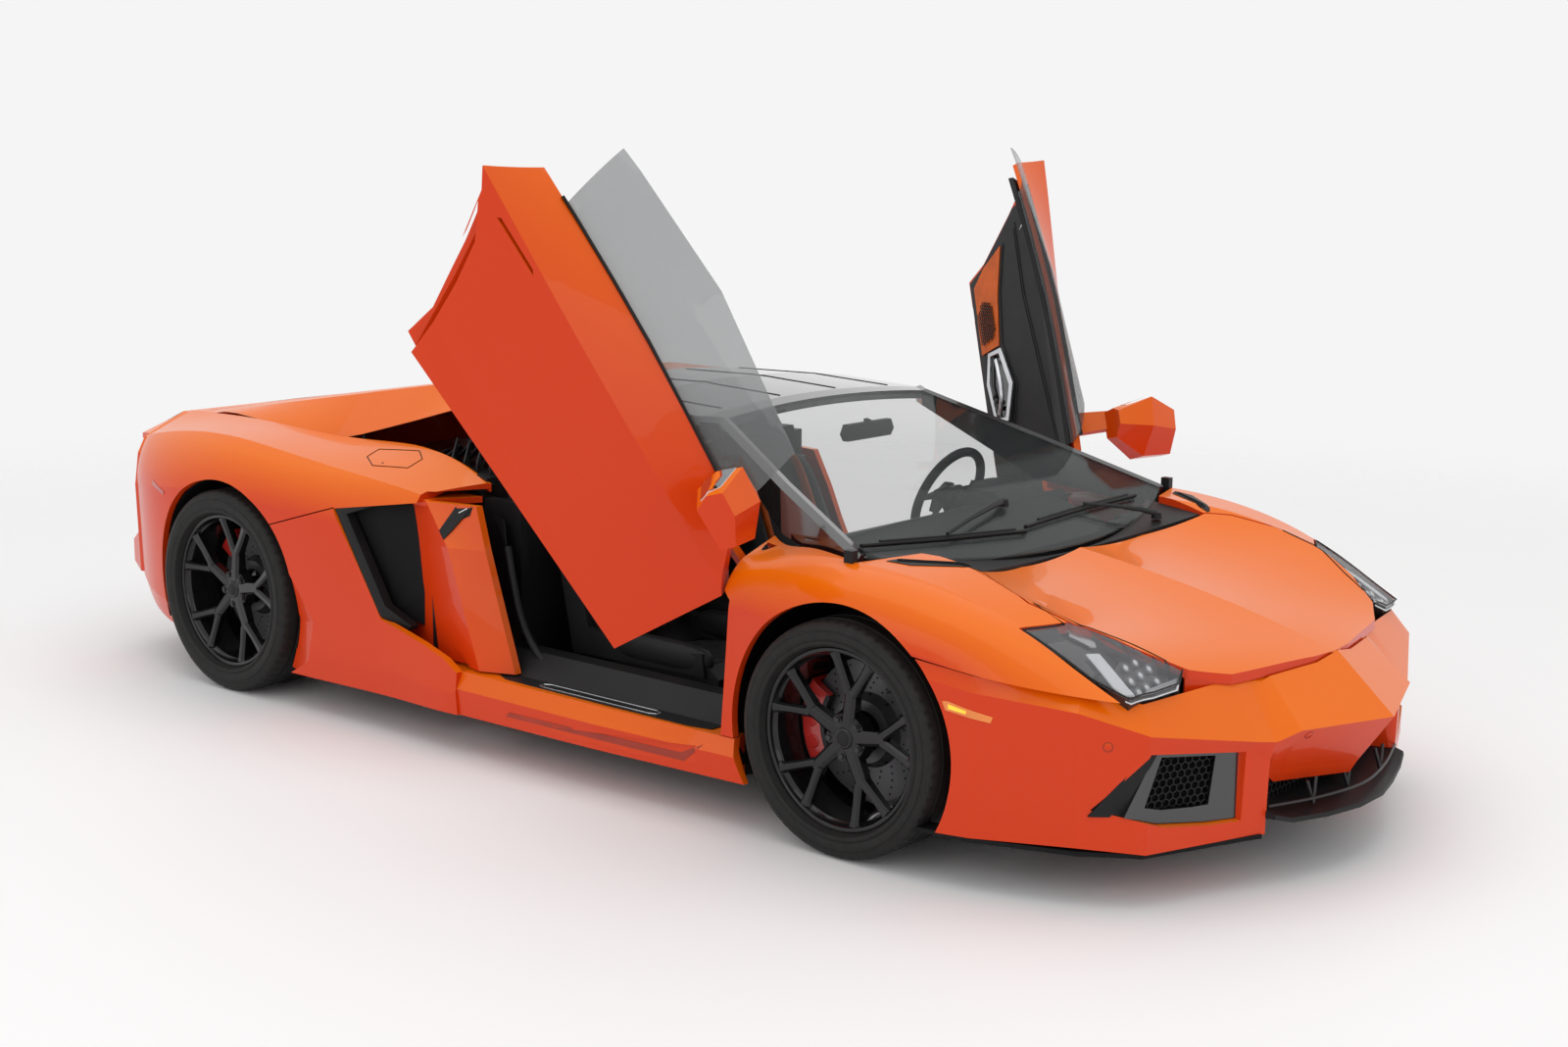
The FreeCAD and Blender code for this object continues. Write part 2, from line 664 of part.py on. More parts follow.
def make_screen_frame(screen):
    sections = []
    for (y_mid, z_mid, x_end, y_end, z_end), foot in zip(SCREEN_ARCHES, POST_FEET):
        x = wide(x_end)
        y = from_front(y_end)
        sections.append([Vector(x - 16, y, z_end + 2), Vector(x + 8, y, z_end + 6),
                         Vector(x + 30, y, z_end - 10),
                         Vector(x + 24, y, foot), Vector(x - 14, y, foot)])
    post = beam(sections)
    header = canopy(HEADER_ARCHES, ROOF_DEPTH)
    reach = Vector(34, from_front(850) - sections[-1][0].y, 6)
    head_post = beam([sections[-1], [corner + reach for corner in sections[-1]]])
    frame = header.fuse([post, mirrored(post), head_post, mirrored(head_post)])
    keep("windscreen_frame", fitted(frame, screen))


def make_roof():
    front = canopy(ROOF_ARCHES[:2], ROOF_DEPTH)
    rear = canopy(ROOF_ARCHES[2:], ROOF_DEPTH)
    keep("roof_panels", Part.makeCompound([front, rear]))


REAR_WALL_TOP = 868


def make_roll_hoop():
    """Fixed hoop behind the seats, on its two feet."""
    top = canopy(HOOP_ARCHES, 44)
    square = ((0, 0), (56, 0), (56, 56), (0, 56))
    leg = beam([[Vector(wide(x + dx), from_front(y + dy), z) for dx, dy in square]
                for x, y, z in ((470, 1594, 1070), (560, 1502, REAR_WALL_TOP + SEAT))])
    keep("roll_hoop", solid(top.fuse([leg, mirrored(leg)])))


def make_rear_window():
    y = from_front(1522)
    keep("rear_window", box((-470, y, REAR_WALL_TOP + SEAT), (470, y + GLASS, 1062)))


# ----------------------------------------------------------------------
# Floor tub, side skirts, cowl
# ----------------------------------------------------------------------
SILL_TOP = 262
SILL_INNER = 882


def make_tub(*carriers):
    floor = box((-700, from_front(330), FLOOR_Z), (700, from_front(1620), FLOOR_TOP))
    nose = box((-470, from_front(-800), FLOOR_Z), (470, from_front(330), FLOOR_TOP))
    sill_section = [(700, FLOOR_Z), (SILL_INNER, FLOOR_Z), (SILL_INNER, SILL_TOP - 6),
                    (800, 330), (740, 330), (700, 300)]
    sill = prism(sill_section, "y", from_front(412), from_front(1500))
    sill = sill.cut(steer_room)
    foot_wall = box((440, from_front(-300), FLOOR_TOP), (470, from_front(400), 540))
    scuttle_side = ((-330, FLOOR_TOP), (-330, 650), (-100, 690), (-70, 690), (-300, 640), (-300, FLOOR_TOP))
    scuttle = prism(side(scuttle_side), "x", -470, 470)
    hinge_post = box((440, from_front(412), FLOOR_TOP), (850, from_front(450), 560 - SEAT))
    rear_wall = box((-700, from_front(1500), FLOOR_TOP), (700, from_front(1560), REAR_WALL_TOP))
    rear_side = box((676, from_front(1490), FLOOR_Z), (712, from_front(1730), 770))
    rear_side = rear_side.fuse(box((680, from_front(1700), FLOOR_Z), (880, from_front(1730), 690)))
    # the beam that carries the windscreen's posts and the front wings
    riser = box((440, from_front(-80), 500), (470, from_front(34), 726))
    beam_inner = box((440, from_front(0), 690), (560, from_front(34), POST_FEET[0] - SEAT))
    beam_outer = box((550, from_front(0), 690), (wide(850), from_front(70), POST_FEET[0] - SEAT))
    wing_lug = box((wide(826), from_front(34), 700), (wide(850), from_front(64), 830))
    luggage = box((-440, from_front(-800), FLOOR_TOP), (440, from_front(-770), 520))
    luggage_side = box((440, from_front(-800), FLOOR_TOP), (470, from_front(-300), 560))
    bracket = by_hinge((-112, -18, -240), (-78, 18, 11))
    pin = on_hinge(size("hinge_pin_radius"), -118, 76)
    pairs = [riser, beam_inner, beam_outer, wing_lug, sill, foot_wall, hinge_post, luggage_side,
             rear_side, bracket, pin]
    pieces = [nose, scuttle, rear_wall, luggage] + pairs + [mirrored(piece) for piece in pairs]
    keep("tub", fitted(floor.fuse(pieces).removeSplitter(), *carriers))


SILL_STATIONS = (
    # y, top edge, crease, foot
    (295, (945, 262), (962, 214), (955, 140)),
    (900, (953, 262), (984, 214), (976, 135)),
    (1500, (960, 266), (985, 215), (976, 130)),
)


# the hollow facet ahead of the rear wheel: front edge y, z, then back edge x, y, z
ARCH_SCOOP = (
    (2240, 181, 950, 2400, 92),
    (2206, 320, 948, 2400, 300),
    (2350, 500, 984, 2400, 548),
)


def arch_scoop():
    return beam([[Vector(wide(992), from_front(y), z), Vector(wide(back_x), from_front(back_y), back_z),
                  Vector(OUTSIDE, from_front(back_y), back_z), Vector(OUTSIDE, from_front(y), z)]
                 for y, z, back_x, back_y, back_z in ARCH_SCOOP])


def make_side_skirts():
    sections = []
    for y, top, crease, foot in SILL_STATIONS:
        outer = [at(point, from_front(y)) for point in (top, crease, foot)]
        inner = [Vector(SILL_INNER + SEAT, outer[0].y, z) for z in (foot[1], top[1])]
        sections.append(wire(outer + inner))
    front = loft(sections, True)
    channel = beam([[Vector(wide(x), from_front(y), z) for x, z in corners] for y, corners in (
        (500, ((962, 222), (1010, 222), (1010, 158), (966, 158))),
        (1330, ((984, 150), (1010, 150), (1010, 142), (986, 142))))])
    backing = box((wide(925), from_front(2190), 132), (wide(976), from_front(2420), 540))
    rear = rear_skin.common(prism(side(SKIRT_SIDE), "x", 700, OUTSIDE)).fuse(backing)
    rear = rear.cut(rear_arch).cut(arch_scoop())
    floor = prism(plan(((820, 1500), (962, 1500), (962, 1900), (820, 1900))), "z", 244, 262)
    whole = front.cut(channel).fuse([biggest(rear), floor]).cut(steer_room).cut(front_arch)
    skirt = biggest(whole)
    keep("side_skirts", both(skirt))
    return skirt


def make_cowl(screen):
    front = (-140, 732, 598, -210, 770)
    back = (-138, 734, 640, 10, 788)
    keep("cowl", fitted(canopy((front, back), 20), screen))


# ----------------------------------------------------------------------
# Rear wings with the side intakes, rear deck, tail
# ----------------------------------------------------------------------
TAIL_START = 3400
# the wings' inner edge beside the engine cover, in plan
DECK_EDGE = ((702, 1560), (700, 1603), (660, 1958), (642, 2082), (642, 3210))


def make_rear_wings():
    space = plan(DECK_EDGE + ((600, 3210), (600, TAIL_START), (1100, TAIL_START), (1100, 1500), (702, 1500)))
    wing = rear_skin.common(prism(space, "z", 0, 1000))
    mouth = prism(side(MOUTH_SIDE), "x", 700, OUTSIDE)
    skirt = prism(grown(side(SKIRT_SIDE), GAP), "x", 700, OUTSIDE)
    for tool in (mouth, skirt, rear_arch, door_cut):
        wing = wing.cut(tool)
    post = door_post().cut(rear_arch).cut(prism(grown(side(SKIRT_SIDE), GAP), "x", wide(900), OUTSIDE))
    top = prism(plan(((846, 1530), (893, 1735), (893, 1800), (720, 1800), (720, 1660))), "z", 756, 776)
    wing = biggest(wing.fuse([post, top.cut(door_cut)]))
    keep("rear_wings", both(wing))
    return wing


def make_side_intakes(wing, skirt):
    """The dark frame of each side intake and the duct behind it."""
    frame = beam([[Vector(wide(x), from_front(y), z) for x, y, z in corners] for corners in (
        ((958, 1700, 338), (958, 1750, 352), (938, 1700, 352), (938, 1660, 338)),
        ((955, 1868, 383), (955, 1905, 410), (900, 1862, 420), (912, 1838, 392)),
        ((952, 2096, 712), (952, 2132, 712), (890, 2086, 716), (900, 2062, 716)))])
    back = prism(plan(((774, 2080), (950, 2130), (950, 2150), (774, 2150))), "z", 300, 760)
    liner = box((wide(830), from_front(1905), 266), (wide(956), from_front(2140), 290))
    whole = frame.fuse([back, liner])
    pieces = [piece for piece in whole.cut(wing).cut(skirt).Solids if piece.Volume > 20000]
    keep("side_intakes", Part.makeCompound(pieces + [mirrored(piece) for piece in pieces]))


COVER_SECTIONS = (
    # y, middle z, top, flank
    (1658, 1117, (486, 1096), (585, 1052)),
    (1965, 1092, (500, 1094), (582, 1014)),
    (2150, 1068, (500, 1078), (596, 962)),
    (2390, 1030, (502, 1040), (622, 897)),
    (2524, 1008, (506, 1018), (634, 868)),
    (2740, 972, (516, 984), (632, 884)),
    (3100, 918, (540, 926), (632, 908)),
    (3200, 903, (552, 912), (628, 906)),
)
COVER_WALL = 26


def make_engine_cover():
    sections = []
    for y, middle, top, flank in COVER_SECTIONS:
        y = from_front(y)
        outer = [Vector(wide(flank[0]), y, flank[1]), Vector(wide(top[0]), y, top[1]), Vector(0, y, middle)]
        inner = [Vector(wide(flank[0]) - COVER_WALL, y, flank[1]),
                 Vector(wide(top[0]) - COVER_WALL, y, top[1] - COVER_WALL - 6),
                 Vector(0, y, middle - COVER_WALL)]
        left = outer[:2] + [outer[2]] + [Vector(-point.x, y, point.z) for point in reversed(outer[:2])]
        below = [Vector(-point.x, y, point.z) for point in inner[:2]] + [inner[2]] + list(reversed(inner[:2]))
        sections.append(wire(left + below))
    keep("engine_cover", loft(sections, True))


DECK_STATIONS = (
    # y, inner edge x and z, outer edge x and z
    (1656, 470, 846, 704, 832),
    (1958, 470, 830, 668, 862),
    (2082, 470, 828, 652, 868),
    (2420, 500, 824, 650, 860),
    (3200, 500, 850, 650, 874),
)


def make_rear_deck(wing):
    """Fixed black trays beside the engine cover, with their cooling fins."""
    tray = beam([[Vector(wide(x0), from_front(y), z0), Vector(wide(x1), from_front(y), z1),
                  Vector(wide(x1), from_front(y), z1 - 16), Vector(wide(x0), from_front(y), z0 - 16)]
                 for y, x0, z0, x1, z1 in DECK_STATIONS])
    fins = []
    for step in range(4):
        y = from_front(1730 + 62 * step)
        fins.append(beam([[Vector(wide(x), y + edge, z) for edge, z in
                           ((start, top), (start + 6, top), (start + 6, foot), (start, foot))]
                          for x, start, top, foot in ((590, 6, 930, 836), (676, -60, 870, 828))]))
    # a buffer that the closed engine cover rests on
    buffer = drum(8, (wide(609), from_front(2390), 840), (0, 0, 1), 55)
    keep("rear_deck", both(fitted(tray.fuse(fins + [buffer]), wing)))


MESH_DEPTH = 24
LAMP_DEPTH = 18


def make_tail():
    y0 = from_front(TAIL_START) + SEAT
    outline = [(0, 884), (622, 884), (796, 806), (828, 748), (846, 630), (838, 300), (0, 300)]
    opening = [(-5, 800), (640, 792), (770, 724), (786, 640), (640, 560), (600, 452), (-5, 452)]
    frame = prism([(wide(x), z) for x, z in outline], "y", y0, y0 + 46)
    frame = frame.cut(prism([(wide(x), z) for x, z in opening], "y", y0 - 5, y0 + 60))
    def lip_section(y, z, x1, x2, drop):
        return [Vector(0, y, z), Vector(wide(x1), y, z - 2), Vector(wide(x2), y, z - drop),
                Vector(wide(x2), y, z - drop - 20), Vector(0, y, z - 40)]

    deck = beam([lip_section(from_front(3208), 902, 580, 594, 3), lip_section(y0, 885, 580, 594, 3)])
    lip = beam([lip_section(y0, 885, 600, 780, 66), lip_section(from_front(3545), 866, 560, 740, 62)])
    bar = beam([[Vector(0, y, z1), Vector(wide(x), y, z1), Vector(wide(x), y, z0), Vector(0, y, z0)]
                for y, x, z0, z1 in ((y0 + 46, 838, 300, 452), (from_front(3560), 790, 318, 400))])
    half = frame.fuse([deck, lip, bar])
    half = half.cut(prism([(-5, 300), (170, 300), (210, 360), (170, 420), (-5, 420)], "y", y0 - 20, y0 + 200))
    mesh = box((-wide(790), y0 + MESH_DEPTH - 12, 440), (wide(790), y0 + MESH_DEPTH, 804))
    tail = solid(half.fuse([mirrored(half), mesh]).removeSplitter())
    keep("tail_panel", tail)
    front = y0 + MESH_DEPTH + SEAT
    lamp_face = ((560, 770), (640, 780), (758, 716), (770, 650), (700, 676), (650, 660), (560, 730))
    lamp = prism([(wide(x), z) for x, z in lamp_face],
                 "y", front, front + LAMP_DEPTH)
    branch_face = ((640, 690), (700, 690), (700, 610), (660, 590))
    branch = prism([(wide(x), z) for x, z in branch_face], "y", front, front + LAMP_DEPTH)
    keep("tail_lamps", both(solid(lamp.fuse(branch))))
    return tail


def make_diffuser(tail):
    """Rear floor, diffuser ramp and its fins."""
    end = size("length_overall") / 2
    start = from_front(1620) + SEAT
    knee = from_front(3090)
    rise = from_front(3500)
    ramp = prism([(start, FLOOR_Z), (start, FLOOR_Z + 8), (knee, FLOOR_Z + 8), (rise, 296), (end - 60, 296),
                  (end - 60, 286),
                  (rise, 286), (knee, FLOOR_Z)], "x", -610, 610)
    fins = [prism([(knee + 10, 112), (end, 150), (end, 250), (end - 60, 290), (rise, 290),
                   (knee + 10, FLOOR_Z + 4)],
                  "x", x - 6, x + 6) for x in (-560, -340, -180, 180, 340, 560)]
    keep("diffuser", fitted(ramp.fuse(fins), tail))


def make_exhaust(tail):
    outline = [(-130, 350), (-90, 306), (90, 306), (130, 350), (90, 396), (-90, 396)]
    bore = [(-112, 350), (-80, 318), (80, 318), (112, 350), (80, 384), (-80, 384)]
    outer = prism(outline, "y", from_front(3300), from_front(3590))
    inner = prism(bore, "y", from_front(3450), from_front(3591))
    link = box((-60, from_front(2900) + SEAT, 330), (60, from_front(3310), 370))
    keep("exhaust", fitted(outer.cut(inner).fuse(link), tail))


def make_engine():
    keep("engine", box((-330, from_front(1640), FLOOR_Z + 8 + SEAT), (330, from_front(2900), 740)))


# ----------------------------------------------------------------------
# Cabin
# ----------------------------------------------------------------------
def make_seats():
    cushion_side = ((760, FLOOR_TOP + SEAT), (740, 300), (790, 335), (1180, 286), (1240, 200),
                    (1240, FLOOR_TOP + SEAT))
    cushion = prism(side(cushion_side),
                    "x", 170, 600)
    back_side = ((1180, 290), (1260, 330), (1440, 900), (1488, 900), (1488, 700), (1380, 240), (1240, 240))
    back = prism(side(back_side), "x", 190, 580)
    head = prism(side(((1420, 880), (1436, 960), (1490, 950), (1488, 880))), "x", 290, 480)
    bolster_side = ((790, 300), (800, 372), (1170, 352), (1290, 380), (1400, 760), (1460, 760), (1360, 290))
    bolsters = [prism(side(bolster_side), "x", x, x + 46)
                for x in (158, 566)]
    seat = solid(cushion.fuse([back, head] + bolsters))
    keep("seats", both(seat))


STEER_TILT = 22
STEER_CENTRE = Vector(wide(375), from_front(600), 765)
column_place = Placement(STEER_CENTRE, Rotation(Vector(1, 0, 0), STEER_TILT))


def make_dash():
    profile = side(((40, 600), (60, 700), (150, 736), (330, 790), (430, 764), (470, 660), (450, 560),
                    (300, 560)))
    dash = prism(profile, "x", -wide(540), wide(540))
    ends_side = ((290, 620), (300, 770), (330, 786), (430, 760), (466, 660), (450, 590))
    ends = prism(side(ends_side), "x", -wide(636), wide(636))
    hood_side = ((300, 760), (330, 822), (440, 820), (470, 740), (430, 700))
    hood = prism(side(hood_side), "x", wide(250), wide(500))
    column = Part.makeCylinder(34, 260, Vector(0, -40, 0), Vector(0, -1, 0))
    column = column.cut(Part.makeCylinder(14.05, 90, Vector(0, -39, 0), Vector(0, -1, 0)))
    column.Placement = column_place
    bore = Part.makeCylinder(14.05, 90, Vector(0, -39, 0), Vector(0, -1, 0))
    bore.Placement = column_place
    whole = dash.fuse([ends, hood, column]).cut(bore)
    keep("dashboard", solid(whole))


def make_tunnel():
    low = FLOOR_TOP + SEAT
    profile = side(((310, low), (310, 540), (480, 470), (700, 440), (1100, 390), (1499, 390), (1499, low)))
    keep("centre_tunnel", prism(profile, "x", -130, 130))


def make_steering_wheel():
    ring = Part.makeTorus(size("steering_wheel_radius"), 15, Vector(0, 0, 0), Vector(0, 1, 0))
    hub = Part.makeCylinder(58, 34, Vector(0, 2, 0), Vector(0, -1, 0))
    bars = [box((-170, -16, -22), (170, 0, 10)), box((-24, -16, -170), (24, 0, 0))]
    shaft = Part.makeCylinder(14, 96, Vector(0, -20, 0), Vector(0, -1, 0))
    wheel = solid(ring.fuse([hub.fuse(bars), shaft]))
    keep("steering_wheel", wheel, column_place)


def make_cabin_mirror(screen):
    outline = [(-125, 1012), (-110, 1042), (110, 1042), (125, 1012), (110, 990), (-110, 990)]
    glass = prism(outline, "y", from_front(640), from_front(662))
    stem = box((-10, from_front(640), 1036), (10, from_front(658), 1062))
    keep("cabin_mirror", fitted(glass.fuse(stem), screen))


# ----------------------------------------------------------------------
# Wheels: bodies built from sketches
# ----------------------------------------------------------------------
def origin_plane(body, role):
    return next(item for item in body.Origin.OriginFeatures if item.Role == role)


def profile_sketch(body, name, role, points):
    """A closed outline of straight lines, in the plane's own two axes."""
    sketch = body.newObject("Sketcher::SketchObject", name)
    sketch.AttachmentSupport = [(origin_plane(body, role), "")]
    sketch.MapMode = "FlatFace"
    count = len(points)
    for index in range(count):
        start = Vector(points[index][0], points[index][1], 0)
        end = Vector(points[(index + 1) % count][0], points[(index + 1) % count][1], 0)
        sketch.addGeometry(Part.LineSegment(start, end), False)
    for index in range(count):
        sketch.addConstraint(Sketcher.Constraint("Coincident", index, 2, (index + 1) % count, 1))
    return sketch


def revolved(label, role, points, reference):
    body = doc.addObject("PartDesign::Body", label)
    body.Label = label
    sketch = profile_sketch(body, label + "_profile", role, points)
    turn = body.newObject("PartDesign::Revolution", label + "_turn")
    turn.Profile = sketch
    turn.ReferenceAxis = (sketch, [reference])
    turn.Angle = 360
    doc.recompute()
    return body


SPOKES = 5
STUB_RADIUS = size("stub_radius")
BORE_RADIUS = STUB_RADIUS + size("stub_play")


def wheel_place(axle, sign):
    across = sign * wide(size("wheel_%s_centre" % axle))
    along = FRONT_AXLE if axle == "front" else REAR_AXLE
    turn = 0 if sign > 0 else 180
    return Placement(Vector(across, along, size("tyre_%s_radius" % axle)), Rotation(Vector(0, 0, 1), turn))


def make_tyre(axle, side_name, sign):
    # across the tread is x, out from the axle is z
    radius = size("tyre_%s_radius" % axle)
    rim = size("rim_%s_radius" % axle)
    half = size("tyre_%s_width" % axle) / 2
    bead = half - TYRE_BEAD_INSET
    tread = half - 16
    points = [(-bead, rim), (-half, rim + 34), (-tread, radius), (tread, radius), (half, rim + 34),
              (bead, rim)]
    tyre = revolved("tyre_%s_%s" % (axle, side_name), "XZ_Plane", points, "H_Axis")
    tyre.Placement = wheel_place(axle, sign)
    parts[tyre.Label] = tyre


def make_rim(axle, side_name, sign):
    rim = size("rim_%s_radius" % axle)
    lip = size("tyre_%s_width" % axle) / 2 - TYRE_BEAD_INSET
    face = hub_face(axle)
    # barrel with its flange, spoke disc dished inwards to the hub, bore for the stub
    hub_end = face - HUB_LENGTH
    points = [(-lip, rim - SEAT), (lip, rim - SEAT), (lip, rim - 12), (lip - 8, rim - 14),
              (lip - 12, rim - 40), (lip - 30, 78), (lip - 24, 52), (lip - 30, 34), (lip - 30, 0),
              (face + 6, 0), (face + 6, BORE_RADIUS), (hub_end, BORE_RADIUS), (hub_end, HUB_RADIUS),
              (lip - 64, 84), (lip - 50, rim - 40), (lip - 50, rim - 20), (-lip, rim - 16)]
    wheel = revolved("rim_%s_%s" % (axle, side_name), "XZ_Plane", points, "H_Axis")
    edge = rim - 42
    # in front view: a five-sided window between spokes, and a slim one inside each forked spoke
    wide_window = [(-15, 84), (15, 84), (66, 156), (50, edge), (-50, edge), (-66, 156)]
    sine, cosine = math.sin(math.pi / SPOKES), math.cos(math.pi / SPOKES)
    slim_window = [(reach * sine + across * cosine, reach * cosine - across * sine)
                   for reach, across in ((138, 0), (edge - 6, 42), (edge - 6, -42))]
    cuts = []
    for title, outline in (("window", wide_window), ("fork", slim_window)):
        sketch = profile_sketch(wheel, "%s_%s_%s" % (title, axle, side_name), "YZ_Plane", outline)
        pocket = wheel.newObject("PartDesign::Pocket", "%s_cut_%s_%s" % (title, axle, side_name))
        pocket.Profile = sketch
        pocket.Type = "ThroughAll"
        pocket.Midplane = True
        doc.recompute()
        pattern = wheel.newObject("PartDesign::PolarPattern", "%s_pattern_%s_%s" % (title, axle, side_name))
        pattern.Originals = [pocket]
        pattern.Axis = (sketch, ["N_Axis"])
        pattern.Angle = 360
        pattern.Occurrences = SPOKES
        wheel.Tip = pattern
        doc.recompute()
    # the brake disc and its bell, bolted behind the hub
    disc_back = face - DISC_INSET
    disc = [(hub_end + 1, BORE_RADIUS), (hub_end + 1, HUB_RADIUS - 2),
            (disc_back + DISC_WIDTH, HUB_RADIUS + 8),
            (disc_back + DISC_WIDTH, DISC_RADIUS), (disc_back, DISC_RADIUS), (disc_back, BORE_RADIUS)]
    disc_sketch = profile_sketch(wheel, "disc_%s_%s" % (axle, side_name), "XZ_Plane", disc)
    disc_turn = wheel.newObject("PartDesign::Revolution", "disc_turn_%s_%s" % (axle, side_name))
    disc_turn.Profile = disc_sketch
    disc_turn.ReferenceAxis = (disc_sketch, ["H_Axis"])
    disc_turn.Angle = 360
    wheel.Tip = disc_turn
    doc.recompute()
    wheel.Placement = wheel_place(axle, sign)
    parts[wheel.Label] = wheel


CALIPER_HALF_ANGLE = 32
KING_PIN_RADIUS = 10
KING_PIN_REACH = 140


def hub_carrier(axle):
    """An upright with its stub axle and the caliper over the disc, on the left."""
    x = disc_inner(axle) - RUNNING_GAP
    y = FRONT_AXLE if axle == "front" else REAR_AXLE
    z = size("tyre_%s_radius" % axle)
    outline = [(y - 45, z - 110), (y + 45, z - 110), (y + 60, z), (y + 40, z + 110), (y - 40, z + 110),
               (y - 60, z)]
    upright = prism(outline, "x", x - UPRIGHT_WIDTH, x)
    stub_end = wide(size("wheel_%s_centre" % axle)) + hub_face(axle) + 4
    stub = drum(STUB_RADIUS, (x - 4, y, z), (1, 0, 0), stub_end - x + 4)
    # the caliper: an arc-shaped block with a slot for the disc
    start = x - UPRIGHT_WIDTH + 8
    length = UPRIGHT_WIDTH + DISC_WIDTH + 2 * RUNNING_GAP + 16
    block = Part.makeCylinder(DISC_RADIUS + 18, length, Vector(), Vector(0, 0, 1), 2 * CALIPER_HALF_ANGLE)
    block = block.cut(Part.makeCylinder(DISC_RADIUS - 60, length + 2, Vector(0, 0, -1)))
    slot_low = UPRIGHT_WIDTH - 8
    slot = Part.makeCylinder(DISC_RADIUS + RUNNING_GAP, DISC_WIDTH + 2 * RUNNING_GAP, Vector(0, 0, slot_low))
    block = block.cut(slot)
    # its middle points back on the front axle and forward on the rear one
    middle = 90 if axle == "front" else -90
    turn = Rotation(Vector(1, 0, 0), middle - CALIPER_HALF_ANGLE)
    lying = Rotation(Vector(0, 0, 1), Vector(1, 0, 0))
    block.Placement = Placement(Vector(start, y, z), turn.multiply(lying))
    reach = (1 if axle == "front" else -1) * (DISC_RADIUS - 50)
    bracket = box((start, min(y, y + reach), z - 34), (x, max(y, y + reach), z + 34))
    return solid(upright.fuse([stub, block, bracket]))


def make_knuckles():
    pin_foot = (KING_PIN_X, FRONT_AXLE, FRONT_HUB_Z - KING_PIN_REACH)
    pin = drum(KING_PIN_RADIUS, pin_foot, (0, 0, 1), 2 * KING_PIN_REACH)
    knuckle = solid(hub_carrier("front").fuse(pin))
    keep("knuckle_front_left", knuckle)
    keep("knuckle_front_right", mirrored(knuckle))


TUB_NOSE_HALF = 470
ENGINE_HALF = 330


def make_suspension():
    """Wishbones at the front, hub carriers with their drive shafts at the back."""
    pieces = []
    for z in (FRONT_HUB_Z - KING_PIN_REACH + 8, FRONT_HUB_Z + KING_PIN_REACH - 22):
        arm = prism([(TUB_NOSE_HALF + SEAT, FRONT_AXLE - 130), (KING_PIN_X + 18, FRONT_AXLE - 16),
                     (KING_PIN_X + 18, FRONT_AXLE + 16),
                     (TUB_NOSE_HALF + SEAT, FRONT_AXLE + 130)], "z", z, z + 12)
        arm = arm.cut(prism([(TUB_NOSE_HALF - 1, FRONT_AXLE - 84), (KING_PIN_X - 70, FRONT_AXLE - 14),
                             (KING_PIN_X - 70, FRONT_AXLE + 14),
                             (TUB_NOSE_HALF - 1, FRONT_AXLE + 84)], "z", z - 1, z + 13))
        eye = drum(KING_PIN_RADIUS + size("pin_play"), (KING_PIN_X, FRONT_AXLE, z - 5), (0, 0, 1), 30)
        pieces.append(arm.cut(eye))
    carrier = hub_carrier("rear")
    shaft_end = disc_inner("rear") - RUNNING_GAP - UPRIGHT_WIDTH + 4
    shaft = drum(24, (ENGINE_HALF + SEAT, REAR_AXLE, REAR_HUB_Z), (1, 0, 0), shaft_end - ENGINE_HALF - SEAT)
    link = prism([(ENGINE_HALF + SEAT, REAR_AXLE - 190), (shaft_end, REAR_AXLE - 30),
                  (shaft_end, REAR_AXLE + 30),
                  (ENGINE_HALF + SEAT, REAR_AXLE + 190)], "z", REAR_HUB_Z - 104, REAR_HUB_Z - 84)
    link = link.cut(prism([(ENGINE_HALF - 1, REAR_AXLE - 130), (shaft_end - 120, REAR_AXLE - 20),
                           (shaft_end - 120, REAR_AXLE + 20),
                           (ENGINE_HALF - 1, REAR_AXLE + 130)], "z", REAR_HUB_Z - 110, REAR_HUB_Z - 80))
    pieces.append(solid(carrier.fuse([shaft, link])))
    keep("suspension", Part.makeCompound(pieces + [mirrored(one) for one in pieces]))


make_bonnet()
front_wing = make_front_wings()
make_headlamps()
bumper = make_front_bumper()
make_front_grilles(bumper)
make_doors()
screen = make_windscreen()
make_screen_frame(screen)
make_roof()
make_roll_hoop()
make_rear_window()
skirt = make_side_skirts()
make_cowl(screen)
wing = make_rear_wings()
make_tub(bumper, *[piece for one in (wing, skirt, front_wing) for piece in (one, mirrored(one))])
make_side_intakes(wing, skirt)
make_engine_cover()
make_rear_deck(wing)
tail = make_tail()
make_diffuser(tail)
make_exhaust(tail)
make_engine()
make_seats()
make_dash()
make_tunnel()
make_steering_wheel()
make_cabin_mirror(screen)
for side_name, sign in (("left", 1), ("right", -1)):
    for axle in ("front", "rear"):
        make_tyre(axle, side_name, sign)
        make_rim(axle, side_name, sign)
make_knuckles()
make_suspension()

doc.recompute()
for item in doc.Objects:
    if "Invalid" in item.State or "Error" in item.State:
        raise RuntimeError("%s failed: %s" % (item.Name, item.State))
for label, item in parts.items():
    if item.Shape.isNull() or not item.Shape.isValid():
        raise RuntimeError("%s has no valid shape" % label)
for label, item in parts.items():
    item.Shape.exportStep("parts/%s.step" % label)
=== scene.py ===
"""Dresses the packed supercar: materials on every part, trim and fittings, and a plain studio round it."""

import math

import bmesh
import bpy
from bpy.props import FloatProperty, FloatVectorProperty, IntProperty, PointerProperty
from mathutils import Matrix, Vector
from mathutils.bvhtree import BVHTree


